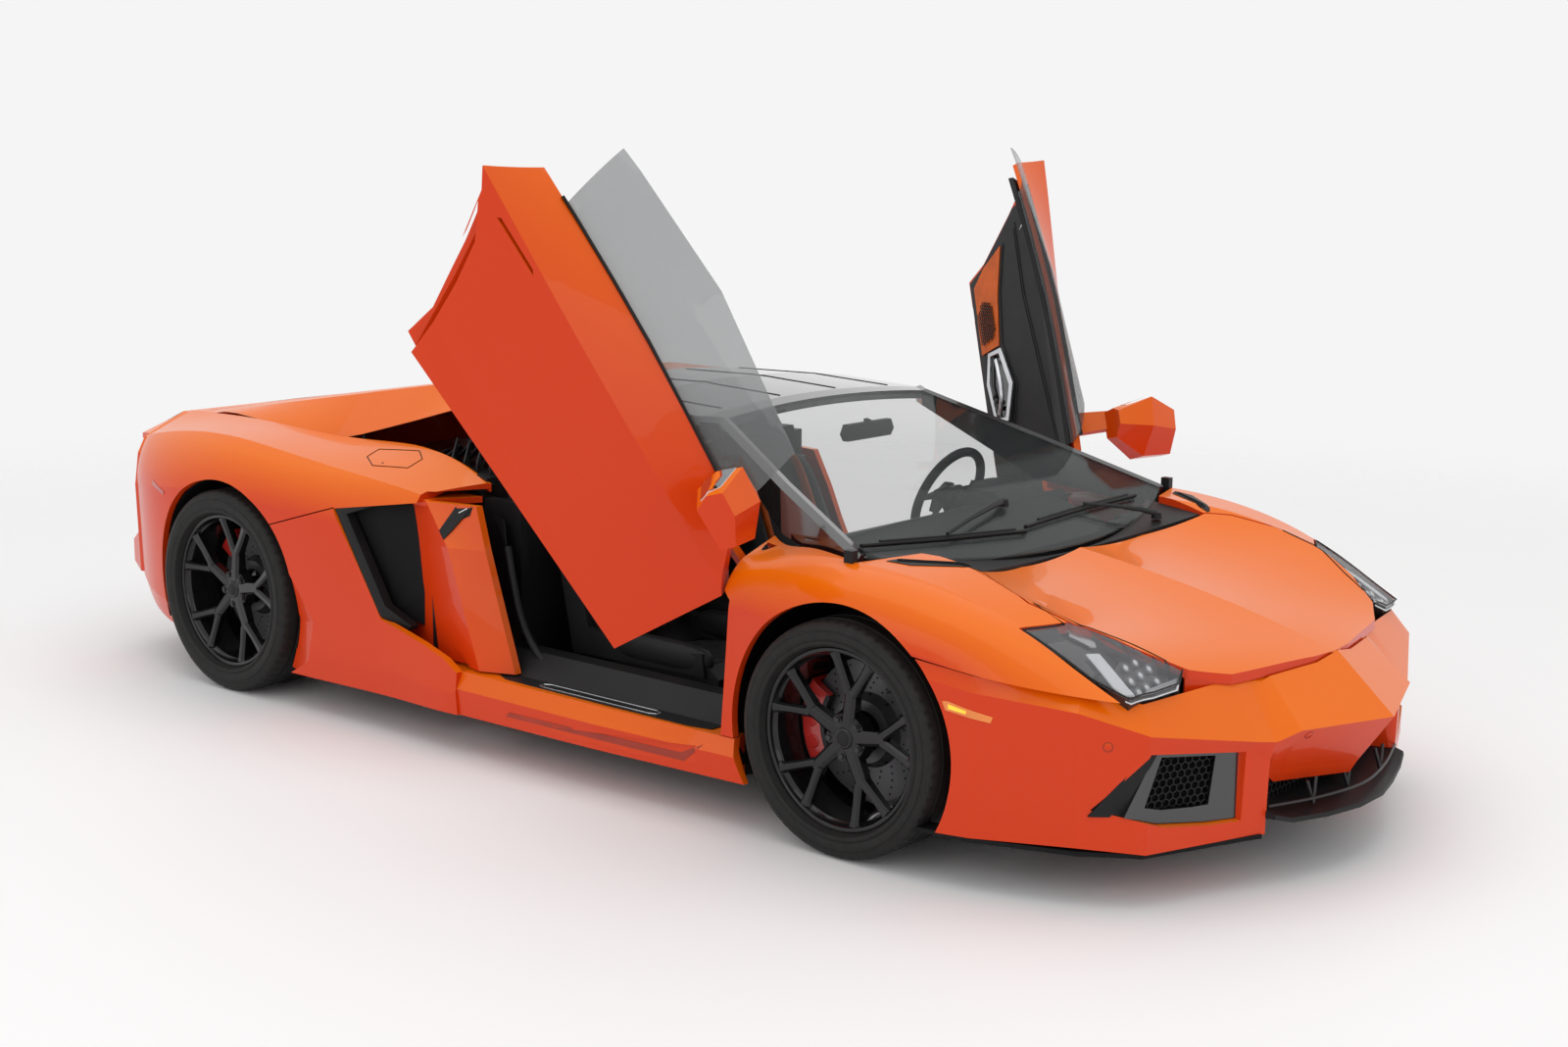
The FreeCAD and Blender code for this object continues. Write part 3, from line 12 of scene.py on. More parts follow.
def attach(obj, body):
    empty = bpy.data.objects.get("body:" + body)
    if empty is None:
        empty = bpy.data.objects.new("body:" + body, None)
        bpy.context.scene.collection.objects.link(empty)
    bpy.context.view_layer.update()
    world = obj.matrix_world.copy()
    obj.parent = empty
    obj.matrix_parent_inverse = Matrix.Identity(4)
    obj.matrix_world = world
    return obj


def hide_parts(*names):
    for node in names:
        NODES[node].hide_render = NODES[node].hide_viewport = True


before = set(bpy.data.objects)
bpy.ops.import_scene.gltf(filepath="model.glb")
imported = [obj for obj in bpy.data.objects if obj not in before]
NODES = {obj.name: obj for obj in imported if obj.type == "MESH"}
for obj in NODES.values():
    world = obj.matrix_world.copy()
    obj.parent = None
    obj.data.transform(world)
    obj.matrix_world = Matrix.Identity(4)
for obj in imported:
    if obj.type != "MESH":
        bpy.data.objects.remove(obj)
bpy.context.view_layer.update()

bl_info = {
    "name": "Supercar dressing",
    "version": (1, 0),
    "blender": (4, 5, 0),
    "location": "View3D > Sidebar > Car",
    "description": "Adds the trim, the fittings, the materials and the studio to the packed car",
    "category": "Object",
}

SIDES = (("left", 1), ("right", -1))
AXLES = ("front", "rear")
FINISHES = {}


# ----------------------------------------------------------------------
# Materials: node trees built from a few shared blocks
# ----------------------------------------------------------------------
FLAKES_PER_METRE = 900
PEBBLES_PER_METRE = 620
DEEP_BLACK = (0.008, 0.008, 0.009)
SOFT_BLACK = (0.012, 0.012, 0.013)


def node_material(name):
    """A new material with its node tree, shader and object coordinates."""
    material = bpy.data.materials.new(name)
    material.use_nodes = True
    tree = material.node_tree
    shader = tree.nodes["Principled BSDF"]
    coords = tree.nodes.new("ShaderNodeTexCoord")
    return material, tree, shader, coords


def noise(tree, coords, scale, detail=3.0):
    """Soft cloudy variation between 0 and 1."""
    texture = tree.nodes.new("ShaderNodeTexNoise")
    texture.inputs["Scale"].default_value = scale
    texture.inputs["Detail"].default_value = detail
    tree.links.new(coords.outputs["Object"], texture.inputs["Vector"])
    return texture.outputs["Fac"]


def cells(tree, coords, scale):
    """The distance to the nearest of many scattered points."""
    texture = tree.nodes.new("ShaderNodeTexVoronoi")
    texture.inputs["Scale"].default_value = scale
    tree.links.new(coords.outputs["Object"], texture.inputs["Vector"])
    return texture.outputs["Distance"]


def spread(tree, value, low, high):
    """Maps 0..1 to low..high."""
    ranged = tree.nodes.new("ShaderNodeMapRange")
    ranged.inputs["To Min"].default_value = low
    ranged.inputs["To Max"].default_value = high
    tree.links.new(value, ranged.inputs["Value"])
    return ranged.outputs["Result"]


def bump(tree, shader, height, strength, distance=0.001):
    """Fine relief of a finish; the distance is in metres."""
    node = tree.nodes.new("ShaderNodeBump")
    node.inputs["Strength"].default_value = strength
    node.inputs["Distance"].default_value = distance
    tree.links.new(height, node.inputs["Height"])
    tree.links.new(node.outputs["Normal"], shader.inputs["Normal"])


def blend_colour(tree, value, first, second, low=0.0, high=1.0):
    """The first colour up to the low value, the second from the high one, and a blend between."""
    ramp = tree.nodes.new("ShaderNodeValToRGB")
    for stop, position, colour in zip(ramp.color_ramp.elements, (low, high), (first, second)):
        stop.position = position
        stop.color = (*colour, 1)
    tree.links.new(value, ramp.inputs["Fac"])
    return ramp.outputs["Color"]


def paint_with_painted_top_light(name, wall, deck, clear_coat):
    """Orange lacquer with painted top light: red-orange walls turn to a lighter yellow-orange on upward
    faces.
    """
    material, tree, shader, coords = node_material(name)
    geometry = tree.nodes.new("ShaderNodeNewGeometry")
    split = tree.nodes.new("ShaderNodeSeparateXYZ")
    tree.links.new(geometry.outputs["Normal"], split.inputs["Vector"])
    flakes = cells(tree, coords, FLAKES_PER_METRE)
    mixed = tree.nodes.new("ShaderNodeMix")
    mixed.data_type = "RGBA"
    mixed.blend_type = "MULTIPLY"
    mixed.inputs["Factor"].default_value = 0.12
    # painted top light: faces blend from the wall colour to the lighter, yellower deck colour as they turn up
    tree.links.new(blend_colour(tree, split.outputs["Z"], wall, deck, 0.05, 0.75), mixed.inputs["A"])
    tree.links.new(blend_colour(tree, flakes, (1, 1, 1), (0.55, 0.5, 0.45)), mixed.inputs["B"])
    tree.links.new(mixed.outputs["Result"], shader.inputs["Base Color"])
    shader.inputs["Specular IOR Level"].default_value = 0.1
    tree.links.new(spread(tree, noise(tree, coords, 3.0), 0.26, 0.34), shader.inputs["Roughness"])
    shader.inputs["Coat Weight"].default_value = clear_coat
    shader.inputs["Coat Roughness"].default_value = 0.03
    bump(tree, shader, noise(tree, coords, 260.0, 2.0), 0.02, 0.0002)
    return material


def plain(name, colour, roughness, metallic=0.0, grain=0.0, grain_scale=900.0, coat=0.0, shine=0.5):
    """A finish with slight colour and roughness variation, and a moulded grain."""
    material, tree, shader, coords = node_material(name)
    darker = tuple(channel * 0.82 for channel in colour)
    lighter = tuple(min(1.0, channel * 1.15) for channel in colour)
    patches = noise(tree, coords, 6.0)
    tree.links.new(blend_colour(tree, patches, darker, lighter, 0.3, 0.7), shader.inputs["Base Color"])
    uneven = spread(tree, patches, roughness * 0.88, min(1.0, roughness * 1.12))
    tree.links.new(uneven, shader.inputs["Roughness"])
    shader.inputs["Metallic"].default_value = metallic
    shader.inputs["Specular IOR Level"].default_value = shine
    shader.inputs["Coat Weight"].default_value = coat
    shader.inputs["Coat Roughness"].default_value = 0.04
    if grain:
        bump(tree, shader, noise(tree, coords, grain_scale, 2.0), grain)
    return material


def clear_glass(name, tint, opacity):
    """Thin tinted glass: a see-through sheet with a sharp reflection."""
    material, tree, shader, coords = node_material(name)
    shader.inputs["Base Color"].default_value = (*tint, 1)
    shader.inputs["Roughness"].default_value = 0.0
    shader.inputs["Specular IOR Level"].default_value = 0.7
    uneven = spread(tree, noise(tree, coords, 1.5), opacity - 0.02, opacity + 0.02)
    tree.links.new(uneven, shader.inputs["Alpha"])
    return material


def glowing(name, colour, strength):
    """A pale lens with a faint light of its own."""
    material, tree, shader, coords = node_material(name)
    darker = tuple(channel * 0.9 for channel in colour)
    tint = blend_colour(tree, noise(tree, coords, 40.0), darker, colour)
    tree.links.new(tint, shader.inputs["Base Color"])
    tree.links.new(tint, shader.inputs["Emission Color"])
    shader.inputs["Emission Strength"].default_value = strength
    shader.inputs["Roughness"].default_value = 0.2
    return material


def leather(name, colour):
    """Grained hide with slightly darker patches."""
    material, tree, shader, coords = node_material(name)
    pebbles = cells(tree, coords, PEBBLES_PER_METRE)
    darker = tuple(channel * 0.7 for channel in colour)
    tint = blend_colour(tree, noise(tree, coords, 14.0), darker, colour, 0.3, 0.7)
    tree.links.new(tint, shader.inputs["Base Color"])
    shader.inputs["Specular IOR Level"].default_value = 0.25
    tree.links.new(spread(tree, pebbles, 0.42, 0.6), shader.inputs["Roughness"])
    bump(tree, shader, pebbles, 0.25, 0.0004)
    return material


def rubber(name):
    """Dull tyre rubber with a fine grain."""
    material, tree, shader, coords = node_material(name)
    tint = blend_colour(tree, noise(tree, coords, 30.0), (0.012, 0.012, 0.012), (0.024, 0.023, 0.022))
    tree.links.new(tint, shader.inputs["Base Color"])
    shader.inputs["Specular IOR Level"].default_value = 0.18
    tree.links.new(spread(tree, noise(tree, coords, 80.0), 0.5, 0.7), shader.inputs["Roughness"])
    bump(tree, shader, noise(tree, coords, 500.0), 0.1, 0.0006)
    return material


def fading_floor(name, colour, near, far):
    """A pale floor that gives way to the backdrop with distance from the car."""
    material, tree, shader, coords = node_material(name)
    darker = tuple(channel * 0.995 for channel in colour)
    tree.links.new(blend_colour(tree, noise(tree, coords, 0.7), colour, darker), shader.inputs["Base Color"])
    shader.inputs["Roughness"].default_value = 0.6
    reach = tree.nodes.new("ShaderNodeVectorMath")
    reach.operation = "LENGTH"
    tree.links.new(coords.outputs["Object"], reach.inputs[0])
    fade = tree.nodes.new("ShaderNodeMapRange")
    fade.interpolation_type = "SMOOTHSTEP"
    for end, value in (("From Min", near), ("From Max", far), ("To Min", 1.0), ("To Max", 0.0)):
        fade.inputs[end].default_value = value
    tree.links.new(reach.outputs["Value"], fade.inputs["Value"])
    tree.links.new(fade.outputs["Result"], shader.inputs["Alpha"])
    return material


def make_materials(settings):
    """Every finish of the car by its key."""
    paint = settings.wall_colour, settings.lit_deck_colour, settings.clear_coat
    return {
        "orange": paint_with_painted_top_light("orange lacquer", *paint),
        "gloss black": plain("gloss black lacquer", DEEP_BLACK, 0.18, coat=1.0),
        "satin black": plain("satin black plastic", SOFT_BLACK, 0.45, grain=0.08, shine=0.2),
        "matt black": plain("matt black plastic", DEEP_BLACK, 0.7, grain=0.15, shine=0.15),
        "seal": plain("seal rubber", (0.014, 0.014, 0.014), 0.5, grain=0.05, grain_scale=300.0, shine=0.2),
        "tyre": rubber("tyre rubber"),
        "rim black": plain("gloss black wheel", DEEP_BLACK, 0.2, metallic=0.2, coat=0.45, shine=0.2),
        "disc": plain("ceramic brake disc", (0.10, 0.10, 0.105), 0.42, metallic=0.7),
        "caliper": plain("red brake caliper", (0.55, 0.018, 0.012), 0.3, coat=0.6),
        "metal": plain("cast aluminium", (0.36, 0.36, 0.37), 0.42, metallic=0.9, grain=0.1),
        "dark metal": plain("dark metal", (0.05, 0.05, 0.052), 0.4, metallic=0.8),
        # painted shade: a darker orange for the shade in the sill's groove; it also makes the joint ring
        # round each parking sensor
        "orange joint and painted shade": plain("dark orange joint and painted groove shade", (0.36, 0.024, 0.003), 0.5),
        "lamp bowl": plain("headlamp housing", (0.030, 0.031, 0.033), 0.28, metallic=0.4, coat=0.5),
        "lamp silver": plain("headlamp reflector", (0.62, 0.63, 0.65), 0.22, metallic=0.9),
        "lamp white": glowing("headlamp light guide", (0.9, 0.92, 0.95), 0.35),
        "amber bright": glowing("amber light", (1.0, 0.45, 0.03), 0.8),
        "mirror": plain("mirror glass", (0.7, 0.72, 0.74), 0.03, metallic=1.0),
        "dark glass": plain("display glass", (0.004, 0.004, 0.005), 0.08, coat=1.0),
        "red bright": glowing("tail light guide", (0.8, 0.02, 0.01), 0.6),
        "chrome": plain("bright trim", (0.75, 0.75, 0.76), 0.12, metallic=1.0),
        "screen glass": clear_glass("windscreen glass", (0.06, 0.07, 0.07), 0.22),
        "side glass": clear_glass("side glass", (0.17, 0.185, 0.19), 0.46),
        "lamp glass": clear_glass("lamp lens", (0.16, 0.16, 0.17), 0.28),
        "red lens": plain("red lamp lens", (0.45, 0.006, 0.004), 0.12, coat=1.0),
        "amber": plain("amber marker lens", (0.85, 0.22, 0.01), 0.15, coat=1.0),
        "black leather": leather("black leather", (0.016, 0.016, 0.017)),
        "orange leather": leather("orange leather", (0.72, 0.13, 0.012)),
        "carbon": plain("satin composite", SOFT_BLACK, 0.38, grain=0.05, shine=0.2),
    }


NODE_FINISH = {
    "orange": ("bonnet", "front_wings", "front_bumper", "door_shell_left", "door_shell_right",
               "door_mirror_left", "door_mirror_right", "side_skirts", "rear_wings", "engine_cover",
               "tail_panel"),
    "gloss black": ("windscreen_frame", "roof_panels", "roll_hoop"),
    "satin black": ("front_grilles", "cowl", "rear_deck", "side_intakes", "diffuser", "dashboard",
                    "centre_tunnel", "cabin_mirror"),
    "screen glass": ("windscreen", "rear_window"),
    "side glass": ("door_glass_left", "door_glass_right"),
    "lamp glass": ("headlamp_lenses",),
    "red lens": ("tail_lamps",),
    "black leather": ("seats", "door_lining_left", "door_lining_right", "steering_wheel"),
    "carbon": ("tub",),
    "metal": ("engine", "exhaust"),
    "dark metal": ("suspension", "knuckle_front_left", "knuckle_front_right"),
    "tyre": tuple("tyre_%s_%s" % (axle, side) for axle in AXLES for side, _ in SIDES),
    "rim black": tuple("rim_%s_%s" % (axle, side) for axle in AXLES for side, _ in SIDES),
}


def paint_nodes():
    """Gives every slot of every CAD node its finish."""
    for finish, nodes in NODE_FINISH.items():
        for node in nodes:
            for slot in NODES[node].material_slots:
                slot.material = FINISHES[finish]


# ----------------------------------------------------------------------
# Geometry: places are in millimetres across, behind the front axle and up
# ----------------------------------------------------------------------
FRONT_AXLE = -1.240  # metres
UP = Vector((0, 0, 1))
DOWN = Vector((0, 0, -1))
REARWARD = Vector((0, 1, 0))
OUTWARD = Vector((1, 0, 0))
INWARD = Vector((-1, 0, 0))
# how high or how far across rays start, in millimetres
CAST_FROM = 1200
ROOF_CAST_FROM = 1500
SHARP_EDGE = 30  # degrees
SEAM_SIDES = 6
SEAM_STEP = 0.02  # metres
# the doors' inclined hinge on the left: a place on it, its tilt, and how far the open door is raised
DOOR_HINGE = (850, 411, 721)
DOOR_TILT = math.radians(23.6)
DOOR_RAISE = math.radians(64.45)


def spot(x, y, z):
    """A point of the car from millimetres across, behind the front axle and above the ground."""
    return Vector((x / 1000, y / 1000 + FRONT_AXLE, z / 1000))


def spots(*places):
    """Points of the car from (across, behind, up)."""
    return [spot(*place) for place in places]


def above(*places, height=CAST_FROM):
    """Points over the car from (across, behind), to be dropped onto it."""
    return [spot(x, y, height) for x, y in places]


def beside(*places, across=CAST_FROM):
    """Points at one distance across from (behind, up), to be cast sideways."""
    return [spot(across, y, z) for y, z in places]


def flipped(points, side):
    """The points on the left as they are, or mirrored for the right."""
    return [Vector((point.x * side, point.y, point.z)) for point in points]


def door_turn(side):
    """Takes a point of the shut door to where the open door has it."""
    x, y, z = DOOR_HINGE
    place = Matrix.Translation(spot(x * side, y, z))
    axis = Vector((math.cos(DOOR_TILT), 0, -math.sin(DOOR_TILT) * side))
    return place @ Matrix.Rotation(DOOR_RAISE, 4, axis) @ place.inverted()


def add_piece(name, points, faces, finish, body, smooth=None, bevel=0.0, place=None):
    """A named piece on a body: smooth is the edge angle kept sharp, bevel its edge width in metres."""
    mesh = bpy.data.meshes.new(name)
    mesh.from_pydata([place @ point for point in points] if place else points, [], faces)
    shape = bmesh.new()
    shape.from_mesh(mesh)
    bmesh.ops.recalc_face_normals(shape, faces=shape.faces)
    shape.to_mesh(mesh)
    shape.free()
    mesh.materials.append(FINISHES[finish])
    obj = bpy.data.objects.new(name, mesh)
    bpy.context.collection.objects.link(obj)
    if bevel or smooth is not None:
        mesh.shade_smooth()
        mesh.set_sharp_from_angle(angle=math.radians(SHARP_EDGE if smooth is None else smooth))
    if bevel:
        rounding = obj.modifiers.new("bevel", "BEVEL")
        rounding.width = bevel
        rounding.segments = 2
        rounding.limit_method = "ANGLE"
        rounding.angle_limit = math.radians(SHARP_EDGE)
        rounding.harden_normals = True
    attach(obj, body)
    return obj


def join_shapes(shapes):
    """One list of points and faces from several."""
    points, faces = [], []
    for more_points, more_faces in shapes:
        start = len(points)
        points += more_points
        faces += [tuple(index + start for index in face) for face in more_faces]
    return points, faces


def rings(sections, capped=True, closed_path=False):
    """The skin over rings of equally many points."""
    count = len(sections[0])
    points = [point for ring in sections for point in ring]
    faces = []
    spans = len(sections) if closed_path else len(sections) - 1
    for row in range(spans):
        low, high = row * count, (row + 1) % len(sections) * count
        for column in range(count):
            after = (column + 1) % count
            faces.append((low + column, low + after, high + after, high + column))
    if capped and not closed_path:
        faces.append(tuple(reversed(range(count))))
        faces.append(tuple(range(len(points) - count, len(points))))
    return points, faces


def plate(outline, thickness):
    """A flat plate from its outline and a thickness vector."""
    return rings([outline, [point + thickness for point in outline]])


def block(low, high):
    """A box between two corners given in millimetres."""
    (x0, y0, z0), (x1, y1, z1) = low, high
    base = spots((x0, y0, z0), (x1, y0, z0), (x1, y1, z0), (x0, y1, z0))
    return plate(base, Vector((0, 0, (z1 - z0) / 1000)))


def rod(path, radius, sides, closed=False, flat=1.0):
    """A round bar along a path of points, with one radius or one for each; flat squashes its section."""
    sections = []
    last = len(path) - 1
    across = None
    for index, point in enumerate(path):
        ahead = path[(index + 1) % len(path)] if closed else path[min(index + 1, last)]
        behind = path[index - 1] if closed or index else path[0]
        along = (ahead - behind).normalized()
        if across is None:
            across = along.orthogonal().normalized()
        across = (across - along * across.dot(along)).normalized()
        other = along.cross(across)
        size = radius[index] if isinstance(radius, (list, tuple)) else radius
        sections.append([point + (across * math.cos(turn) + other * math.sin(turn) * flat) * size
                         for turn in (2 * math.pi * step / sides for step in range(sides))])
    return rings(sections, closed_path=closed)


def curve_through(points, steps):
    """A smooth path through the points, with this many steps from each to the next."""
    path = []
    last = len(points) - 1
    for index in range(last):
        a, b, c, d = (points[min(max(index + shift, 0), last)] for shift in (-1, 0, 1, 2))
        for step in range(steps):
            t = step / steps
            path.append(0.5 * (2 * b + (c - a) * t + (2 * a - 5 * b + 4 * c - d) * t ** 2
                               + (3 * b - a - 3 * c + d) * t ** 3))
    path.append(points[-1])
    return path


def spun(profile, centre=Vector(), segments=96, shift=None):
    """A turned shape about an axle along X from (across, radius) in millimetres; shift may move a point."""
    sections = []
    for step in range(segments):
        turn = 2 * math.pi * step / segments
        ring = []
        for across, radius in profile:
            if shift:
                radius = shift(step, across, radius)
            ring.append(centre + Vector((across, radius * math.cos(turn), radius * math.sin(turn))) / 1000)
        sections.append(ring)
    return rings(sections, closed_path=True)


def surface_of(*names):
    """What a ray can hit: the faces of some CAD nodes at rest."""
    shapes = []
    for name in names:
        node = NODES[name]
        matrix = node.matrix_world
        shapes.append(([matrix @ vertex.co for vertex in node.data.vertices],
                       [tuple(face.vertices) for face in node.data.polygons]))
    return BVHTree.FromPolygons(*join_shapes(shapes))


def land(surface, point, direction, lift):
    """Where a point lands on a surface along a direction, lifted off it; a miss takes the nearest place."""
    direction = direction.normalized()
    place = surface.ray_cast(point, direction)[0]
    if place is None:
        place = surface.find_nearest(point + direction * 0.02)[0]
    return place - direction * lift


def draped(outline, direction, surface, lift, thickness, cuts):
    """A thin panel laid on a surface: its outline is cut up, and cast along a direction to follow it."""
    shape = bmesh.new()
    shape.faces.new([shape.verts.new(point) for point in outline])
    bmesh.ops.triangulate(shape, faces=shape.faces)
    bmesh.ops.subdivide_edges(shape, edges=shape.edges, cuts=cuts, use_grid_fill=True)
    for vertex in shape.verts:
        vertex.co = land(surface, vertex.co, direction, lift)
    shape.verts.index_update()
    top = [vertex.co.copy() for vertex in shape.verts]
    faces = [tuple(vertex.index for vertex in face.verts) for face in shape.faces]
    rim = [tuple(vertex.index for vertex in edge.verts) for edge in shape.edges if edge.is_boundary]
    shape.free()
    count = len(top)
    points = top + [point + direction.normalized() * thickness for point in top]
    faces += [tuple(index + count for index in reversed(face)) for face in faces]
    faces += [(first, second, second + count, first + count) for first, second in rim]
    return points, faces


def draped_line(path, direction, surface, radius, lift, closed=False):
    """A thin bead that follows a surface, such as a seam."""
    landed = []
    for first, second in zip(path, path[1:] + path[:1] if closed else path[1:]):
        count = max(1, int((second - first).length / SEAM_STEP))
        for number in range(count):
            landed.append(land(surface, first.lerp(second, number / count), direction, lift))
    if not closed:
        landed.append(land(surface, path[-1], direction, lift))
    return rod(landed, radius, SEAM_SIDES, closed)


def inside(outline, x, y):
    """Whether a point lies inside a flat outline of (x, y)."""
    hit = False
    for (x0, y0), (x1, y1) in zip(outline, outline[1:] + outline[:1]):
        if (y0 > y) != (y1 > y) and x < (x1 - x0) * (y - y0) / (y1 - y0) + x0:
            hit = not hit
    return hit


def hex_cell(x, y, outer_reach, inner_reach, depth, to_space):
    """One cell's front face and inner walls."""
    turns = [math.radians(60 * corner + 30) for corner in range(6)]
    outer, inner = ([(x + reach * math.cos(turn), y + reach * math.sin(turn)) for turn in turns]
                    for reach in (outer_reach, inner_reach))
    points = [to_space(*corner, 0) for corner in outer + inner]
    points += [to_space(*corner, depth) for corner in inner]
    faces = []
    for corner in range(6):
        after = (corner + 1) % 6
        faces.append((corner, after, 6 + after, 6 + corner))
        faces.append((6 + corner, 6 + after, 12 + after, 12 + corner))
    return points, faces


def hex_mesh(outline, cell, wall, depth, to_space):
    """Honeycomb bars within a flat outline; to_space takes (x, y, depth) in millimetres to a point."""
    shapes = []
    xs = [x for x, _ in outline]
    ys = [y for _, y in outline]
    outer_reach = cell / math.sqrt(3)
    row = 0
    y = min(ys)
    while y <= max(ys):
        x = min(xs) + (cell / 2 if row % 2 else 0)
        while x <= max(xs):
            if inside(outline, x, y):
                shapes.append(hex_cell(x, y, outer_reach, outer_reach - wall, depth, to_space))
            x += cell
        y += cell * math.sqrt(3) / 2
        row += 1
    return join_shapes(shapes)


# ----------------------------------------------------------------------
# Wheels, tyres, brakes and arch liners
# ----------------------------------------------------------------------
WHEELS = {
    # centre across, centre behind the front axle, tyre radius, half the tyre's width, rim radius
    "front": (845, 0, 330.5, 127.5, 254),
    "rear": (832, 2700, 355.5, 177.5, 267),
}
# inwards from the tyre's side to the rim's lip, on to the hub's face, and on to the disc's back
BEAD_INSET = 24
HUB_FACE_INSET = 60
DISC_INSET = 118
DISC_WIDTH = 34
DISC_RADIUS = 199
NUT_REACH = 53
SPOKES = 5
LINER_WALL = 3


def placed(shape, axle, side):
    """A shape drawn round the origin with its outer side at +X, put at a wheel."""
    across, behind, radius = WHEELS[axle][:3]
    centre = spot(across, behind, radius)
    points, faces = shape
    return flipped([point + centre for point in points], side), faces


def tyre_profile(radius, half, rim):
    """A tyre's section from one bead round to the other: (across, radius) with two grooves a side."""
    wall = radius - rim
    bead = half - BEAD_INSET
    outer = [(bead - 2, rim + 1), (bead + 6, rim + 5), (half - 6, rim + 9), (half - 2.5, rim + 14),
             (half - 2.5, rim + 19), (half - 6, rim + 23), (half - 2.5, rim + 0.40 * wall),
             (half - 1, rim + 0.50 * wall), (half - 2, rim + 0.60 * wall), (half - 4.2, rim + 0.615 * wall),
             (half - 4.5, rim + 0.66 * wall), (half - 3.6, rim + 0.675 * wall), (half - 7, rim + 0.80 * wall),
             (half - 12, rim + 0.90 * wall), (half - 20, radius - 3.4), (half - 32, radius - 1.2)]
    for groove in (0.62, 0.22):
        middle = half * groove
        outer += [(middle + 6, radius - 0.4), (middle + 4, radius - 7), (middle - 4, radius - 7),
                  (middle - 6, radius - 0.2)]
    return outer + [(-across, reach) for across, reach in reversed(outer)]


def add_tyre(axle, side_name, side, steps):
    """A road tyre with notches across its tread."""
    _, _, radius, half, rim = WHEELS[axle]

    def notched(step, across, reach):
        """Lowers the tread at every fourth slice, save for its smooth bands."""
        shoulder = half * 0.68 < abs(across) < half - 10
        block_edge = half * 0.28 < abs(across) < half * 0.56
        if reach > radius - 6 and step % 4 == 0 and (shoulder or block_edge):
            return reach - 4.5
        return reach

    shape = spun(tyre_profile(radius, half, rim), segments=steps, shift=notched)
    name = "%s_%s" % (axle, side_name)
    tyre = add_piece("road_tyre_" + name, *placed(shape, axle, side), "tyre", "wheel_" + name, smooth=32)
    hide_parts("tyre_" + name)


def spoke_ring(across, reach, out, half, depth, along):
    """One section of a spoke in the wheel's plane, square to the way it runs."""
    side_x, side_y = along[1], -along[0]
    ring = []
    for share, drop in ((-1, 8), (-0.5, 0), (0.5, 0), (1, 8), (0.8, depth), (-0.8, depth)):
        place = Vector((out - drop, across + side_x * half * share, reach + side_y * half * share))
        ring.append(place / 1000)
    return ring


def spoke(rim, lip):
    """A stem from the hub that forks to the rim."""
    size = rim / WHEELS["front"][4]
    fork, end = 142 * size, rim - 13
    # along the stem: distance from the axle, how far out, half the width, depth
    stem = ((22, lip - 30, 25, 40), (62, lip - 25, 22, 42), (112 * size, lip - 24, 20, 38),
            (fork, lip - 20, 21, 36))
    # along each branch: share of its length, how far out, half the width, depth
    branch = ((0, lip - 20.4, 15, 36), (0.5, lip - 15, 13.5, 32), (0.86, lip - 8, 15, 30),
              (1, lip - 5, 20, 28))
    shapes = [rings([spoke_ring(0, reach, out, half, depth, (0, 1)) for reach, out, half, depth in stem])]
    for hand in (-1, 1):
        across = 62 * size * hand
        start = Vector((hand * 7, fork - 14))
        tip = Vector((across, math.sqrt(end ** 2 - across ** 2)))
        along = (tip - start).normalized()
        sections = []
        for share, out, half, depth in branch:
            point = start.lerp(tip, share)
            sections.append(spoke_ring(point.x, point.y, out, half, depth, along))
        shapes.append(rings(sections))
    return join_shapes(shapes)


def turned(shape, angle):
    """A shape turned about the axle."""
    points, faces = shape
    turn = Matrix.Rotation(angle, 4, "X")
    return [turn @ point for point in points], faces


def stud(low, high, reach, radius, sides):
    """A short bar beside the axle and along it, reach millimetres over it; its radius is in metres."""
    return rod([Vector((across / 1000, 0, reach / 1000)) for across in (low, high)], radius, sides)


def add_rim(axle, side_name, side, spoke_turn):
    """A forked wheel with its nuts, valve and cap."""
    _, _, _, half, rim = WHEELS[axle]
    lip = half - BEAD_INSET
    name = "%s_%s" % (axle, side_name)
    body = "wheel_" + name
    barrel = [(lip, rim - 0.6), (lip, rim - 8), (lip - 3, rim - 12), (lip - 14, rim - 15),
              (lip - 24, rim - 24), (lip - 70, rim - 30), (30 - lip, rim - 32), (-lip, rim - 14),
              (-lip, rim - 0.6)]
    hub = [(lip - 23, 0.4), (lip - 23, 24), (lip - 25, 28), (lip - 29, 30), (lip - 30, 46), (lip - 36, 66),
           (lip - 68, 76), (lip - 68, 0.4)]
    shapes = [spun(barrel, segments=120), spun(hub, segments=60)]
    for number in range(SPOKES):
        shapes.append(turned(spoke(rim, lip), spoke_turn + 2 * math.pi * number / SPOKES))
    wheel = add_piece("rim_%s_spokes" % name, *placed(join_shapes(shapes), axle, side), "rim black", body,
                      smooth=28, bevel=0.0016)
    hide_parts("rim_" + name)
    seat = spun([(lip - 33, 12.5), (lip - 29, 12.5), (lip - 29, 9.5), (lip - 33, 9.5)],
                Vector((0, 0, NUT_REACH / 1000)), 24)
    nut = stud(lip - 34, lip - 26, NUT_REACH, 0.0078, 6)
    fittings = []
    for number in range(SPOKES):
        angle = spoke_turn + 2 * math.pi * (number + 0.5) / SPOKES
        fittings += [turned(seat, angle), turned(nut, angle)]
    valve = rod([Vector((across / 1000, 0, reach / 1000))
                 for across, reach in ((lip - 22, rim - 26), (lip - 10, rim - 34))], [0.004, 0.003], 8)
    fittings.append(turned(valve, spoke_turn + math.radians(36)))
    add_piece("rim_%s_fittings" % name, *placed(join_shapes(fittings), axle, side), "dark metal", body,
              smooth=30)
    cap = [(lip - 24, 0.4), (lip - 19.5, 0.4), (lip - 20, 16), (lip - 21.5, 20), (lip - 23, 21.5)]
    add_piece("rim_%s_cap" % name, *placed(spun(cap, segments=48), axle, side), "satin black", body,
              smooth=30)


